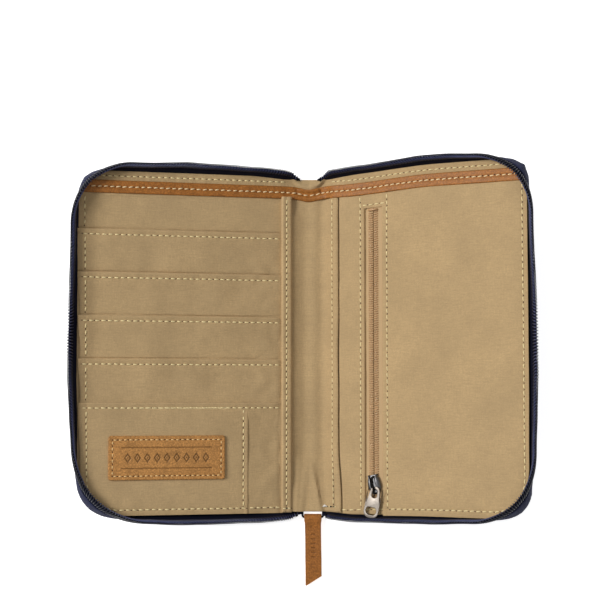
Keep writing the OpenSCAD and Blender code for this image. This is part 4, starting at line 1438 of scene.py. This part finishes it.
# ---------------------------------------------------------------- thread ends at the spine
END_HOLE = [(-0.5, 0.0, 0.05), (-0.2, 0.05, 0.16), (0.2, 0.05, 0.16), (0.5, 0.0, 0.05)]
# needle holes at the lower end of the spine: small black bumps, painted shade inside the holes
for full, sheet, spots in (("left", binding, [(2.75, -71.3)]),
                           ("right", spine_right, [(2.9, -70.6), (5.1, -70.6)])):
    points, faces = join([
        tube([(u + du, v + dv, sheet.height(u, v) + dw) for du, dv, dw in END_HOLE],
             [0.16, 0.30, 0.30, 0.16]) for u, v in spots])
    build("spine_end_needle_holes_" + full, place(sheet.side, points, sheet.bend), faces, "wire",
          sheet.on)

KNOT = [(-0.4, 0.0, 0.0), (-0.15, 0.12, 0.16), (0.15, -0.05, 0.18), (0.45, 0.08, 0.0)]
# x, y, z and radius of the knot's strands
STRANDS = [(6.9, -70.3, 3.35, 0.50), (7.5, -70.5, 3.4, 0.34), (6.4, -70.6, 3.3, 0.30)]
points, faces = join([
    tube([(x + dx, y + dy, z + dz) for dx, dy, dz in KNOT],
         [radius * share for share in (0.6, 1, 1, 0.5)]) for x, y, z, radius in STRANDS])
build("thread_knot", points * MM, faces, "knot", "spine")

# ---------------------------------------------------------------- parts that keep their shape
for node, material in {"left_board": "board", "right_board": "board",
                       "spine_stiffener": "board", "main_slider_body": "gunmetal",
                       "main_slider_bridge": "gunmetal"}.items():
    slots = frame["nodes"][node].data.materials
    slots.clear()
    slots.append(MATERIALS[material][0])

# ---------------------------------------------------------------- studio
scene = bpy.context.scene


def add_object(name, data):
    ob = bpy.data.objects.new(name, data)
    scene.collection.objects.link(ob)
    return ob


def aim(ob, target):
    direction = Vector(target) - ob.location
    ob.rotation_euler = direction.to_track_quat("-Z", "Y").to_euler()


FLOOR_HALF, FLOOR_Z = 3, -0.0004        # metres
floor_mesh = bpy.data.meshes.new("floor")
floor_mesh.from_pydata([(x * FLOOR_HALF, y * FLOOR_HALF, FLOOR_Z)
                        for x, y in ((-1, -1), (1, -1), (1, 1), (-1, 1))], [], [(0, 1, 2, 3)])
paper = Material("floor", rough=0.9)
paper.set("Base Color", (0.92, 0.92, 0.92, 1))
paper.set("Emission Color", (1, 1, 1, 1))
paper.set("Emission Strength", 0.75)
floor_mesh.materials.append(paper.material)
add_object("floor", floor_mesh)

camera_data = bpy.data.cameras.new("camera")
camera_data.sensor_width = 36
camera_data.lens = 88.5
camera = add_object("camera", camera_data)
camera.location = (-0.0039, -0.0244, 0.650)
aim(camera, (-0.0039, 0.01965, 0.0))
scene.camera = camera


def area_light(name, at, size, power, colour=(1, 1, 1)):
    """A square area light aimed at the origin."""
    light = bpy.data.lights.new(name, "AREA")
    light.shape = "RECTANGLE"
    light.size = light.size_y = size
    light.energy = power
    light.color = colour
    ob = add_object(name, light)
    ob.location = at
    aim(ob, (0, 0, 0))


area_light("key_left", at=(-0.85, 0.22, 0.86), size=0.50, power=12.0, colour=(1.0, 0.985, 0.965))
area_light("fill_top", at=(0.15, 0.1, 1.1), size=0.9, power=1.5)
area_light("fill_right", at=(0.9, -0.35, 0.6), size=0.6, power=0.5, colour=(0.97, 0.98, 1.0))

world = bpy.data.worlds.new("studio")
scene.world = world
world.use_nodes = True
background = world.node_tree.nodes["Background"]
background.inputs["Color"].default_value = (1, 1, 1, 1)
background.inputs["Strength"].default_value = 0.22
scene.view_settings.view_transform = "Standard"
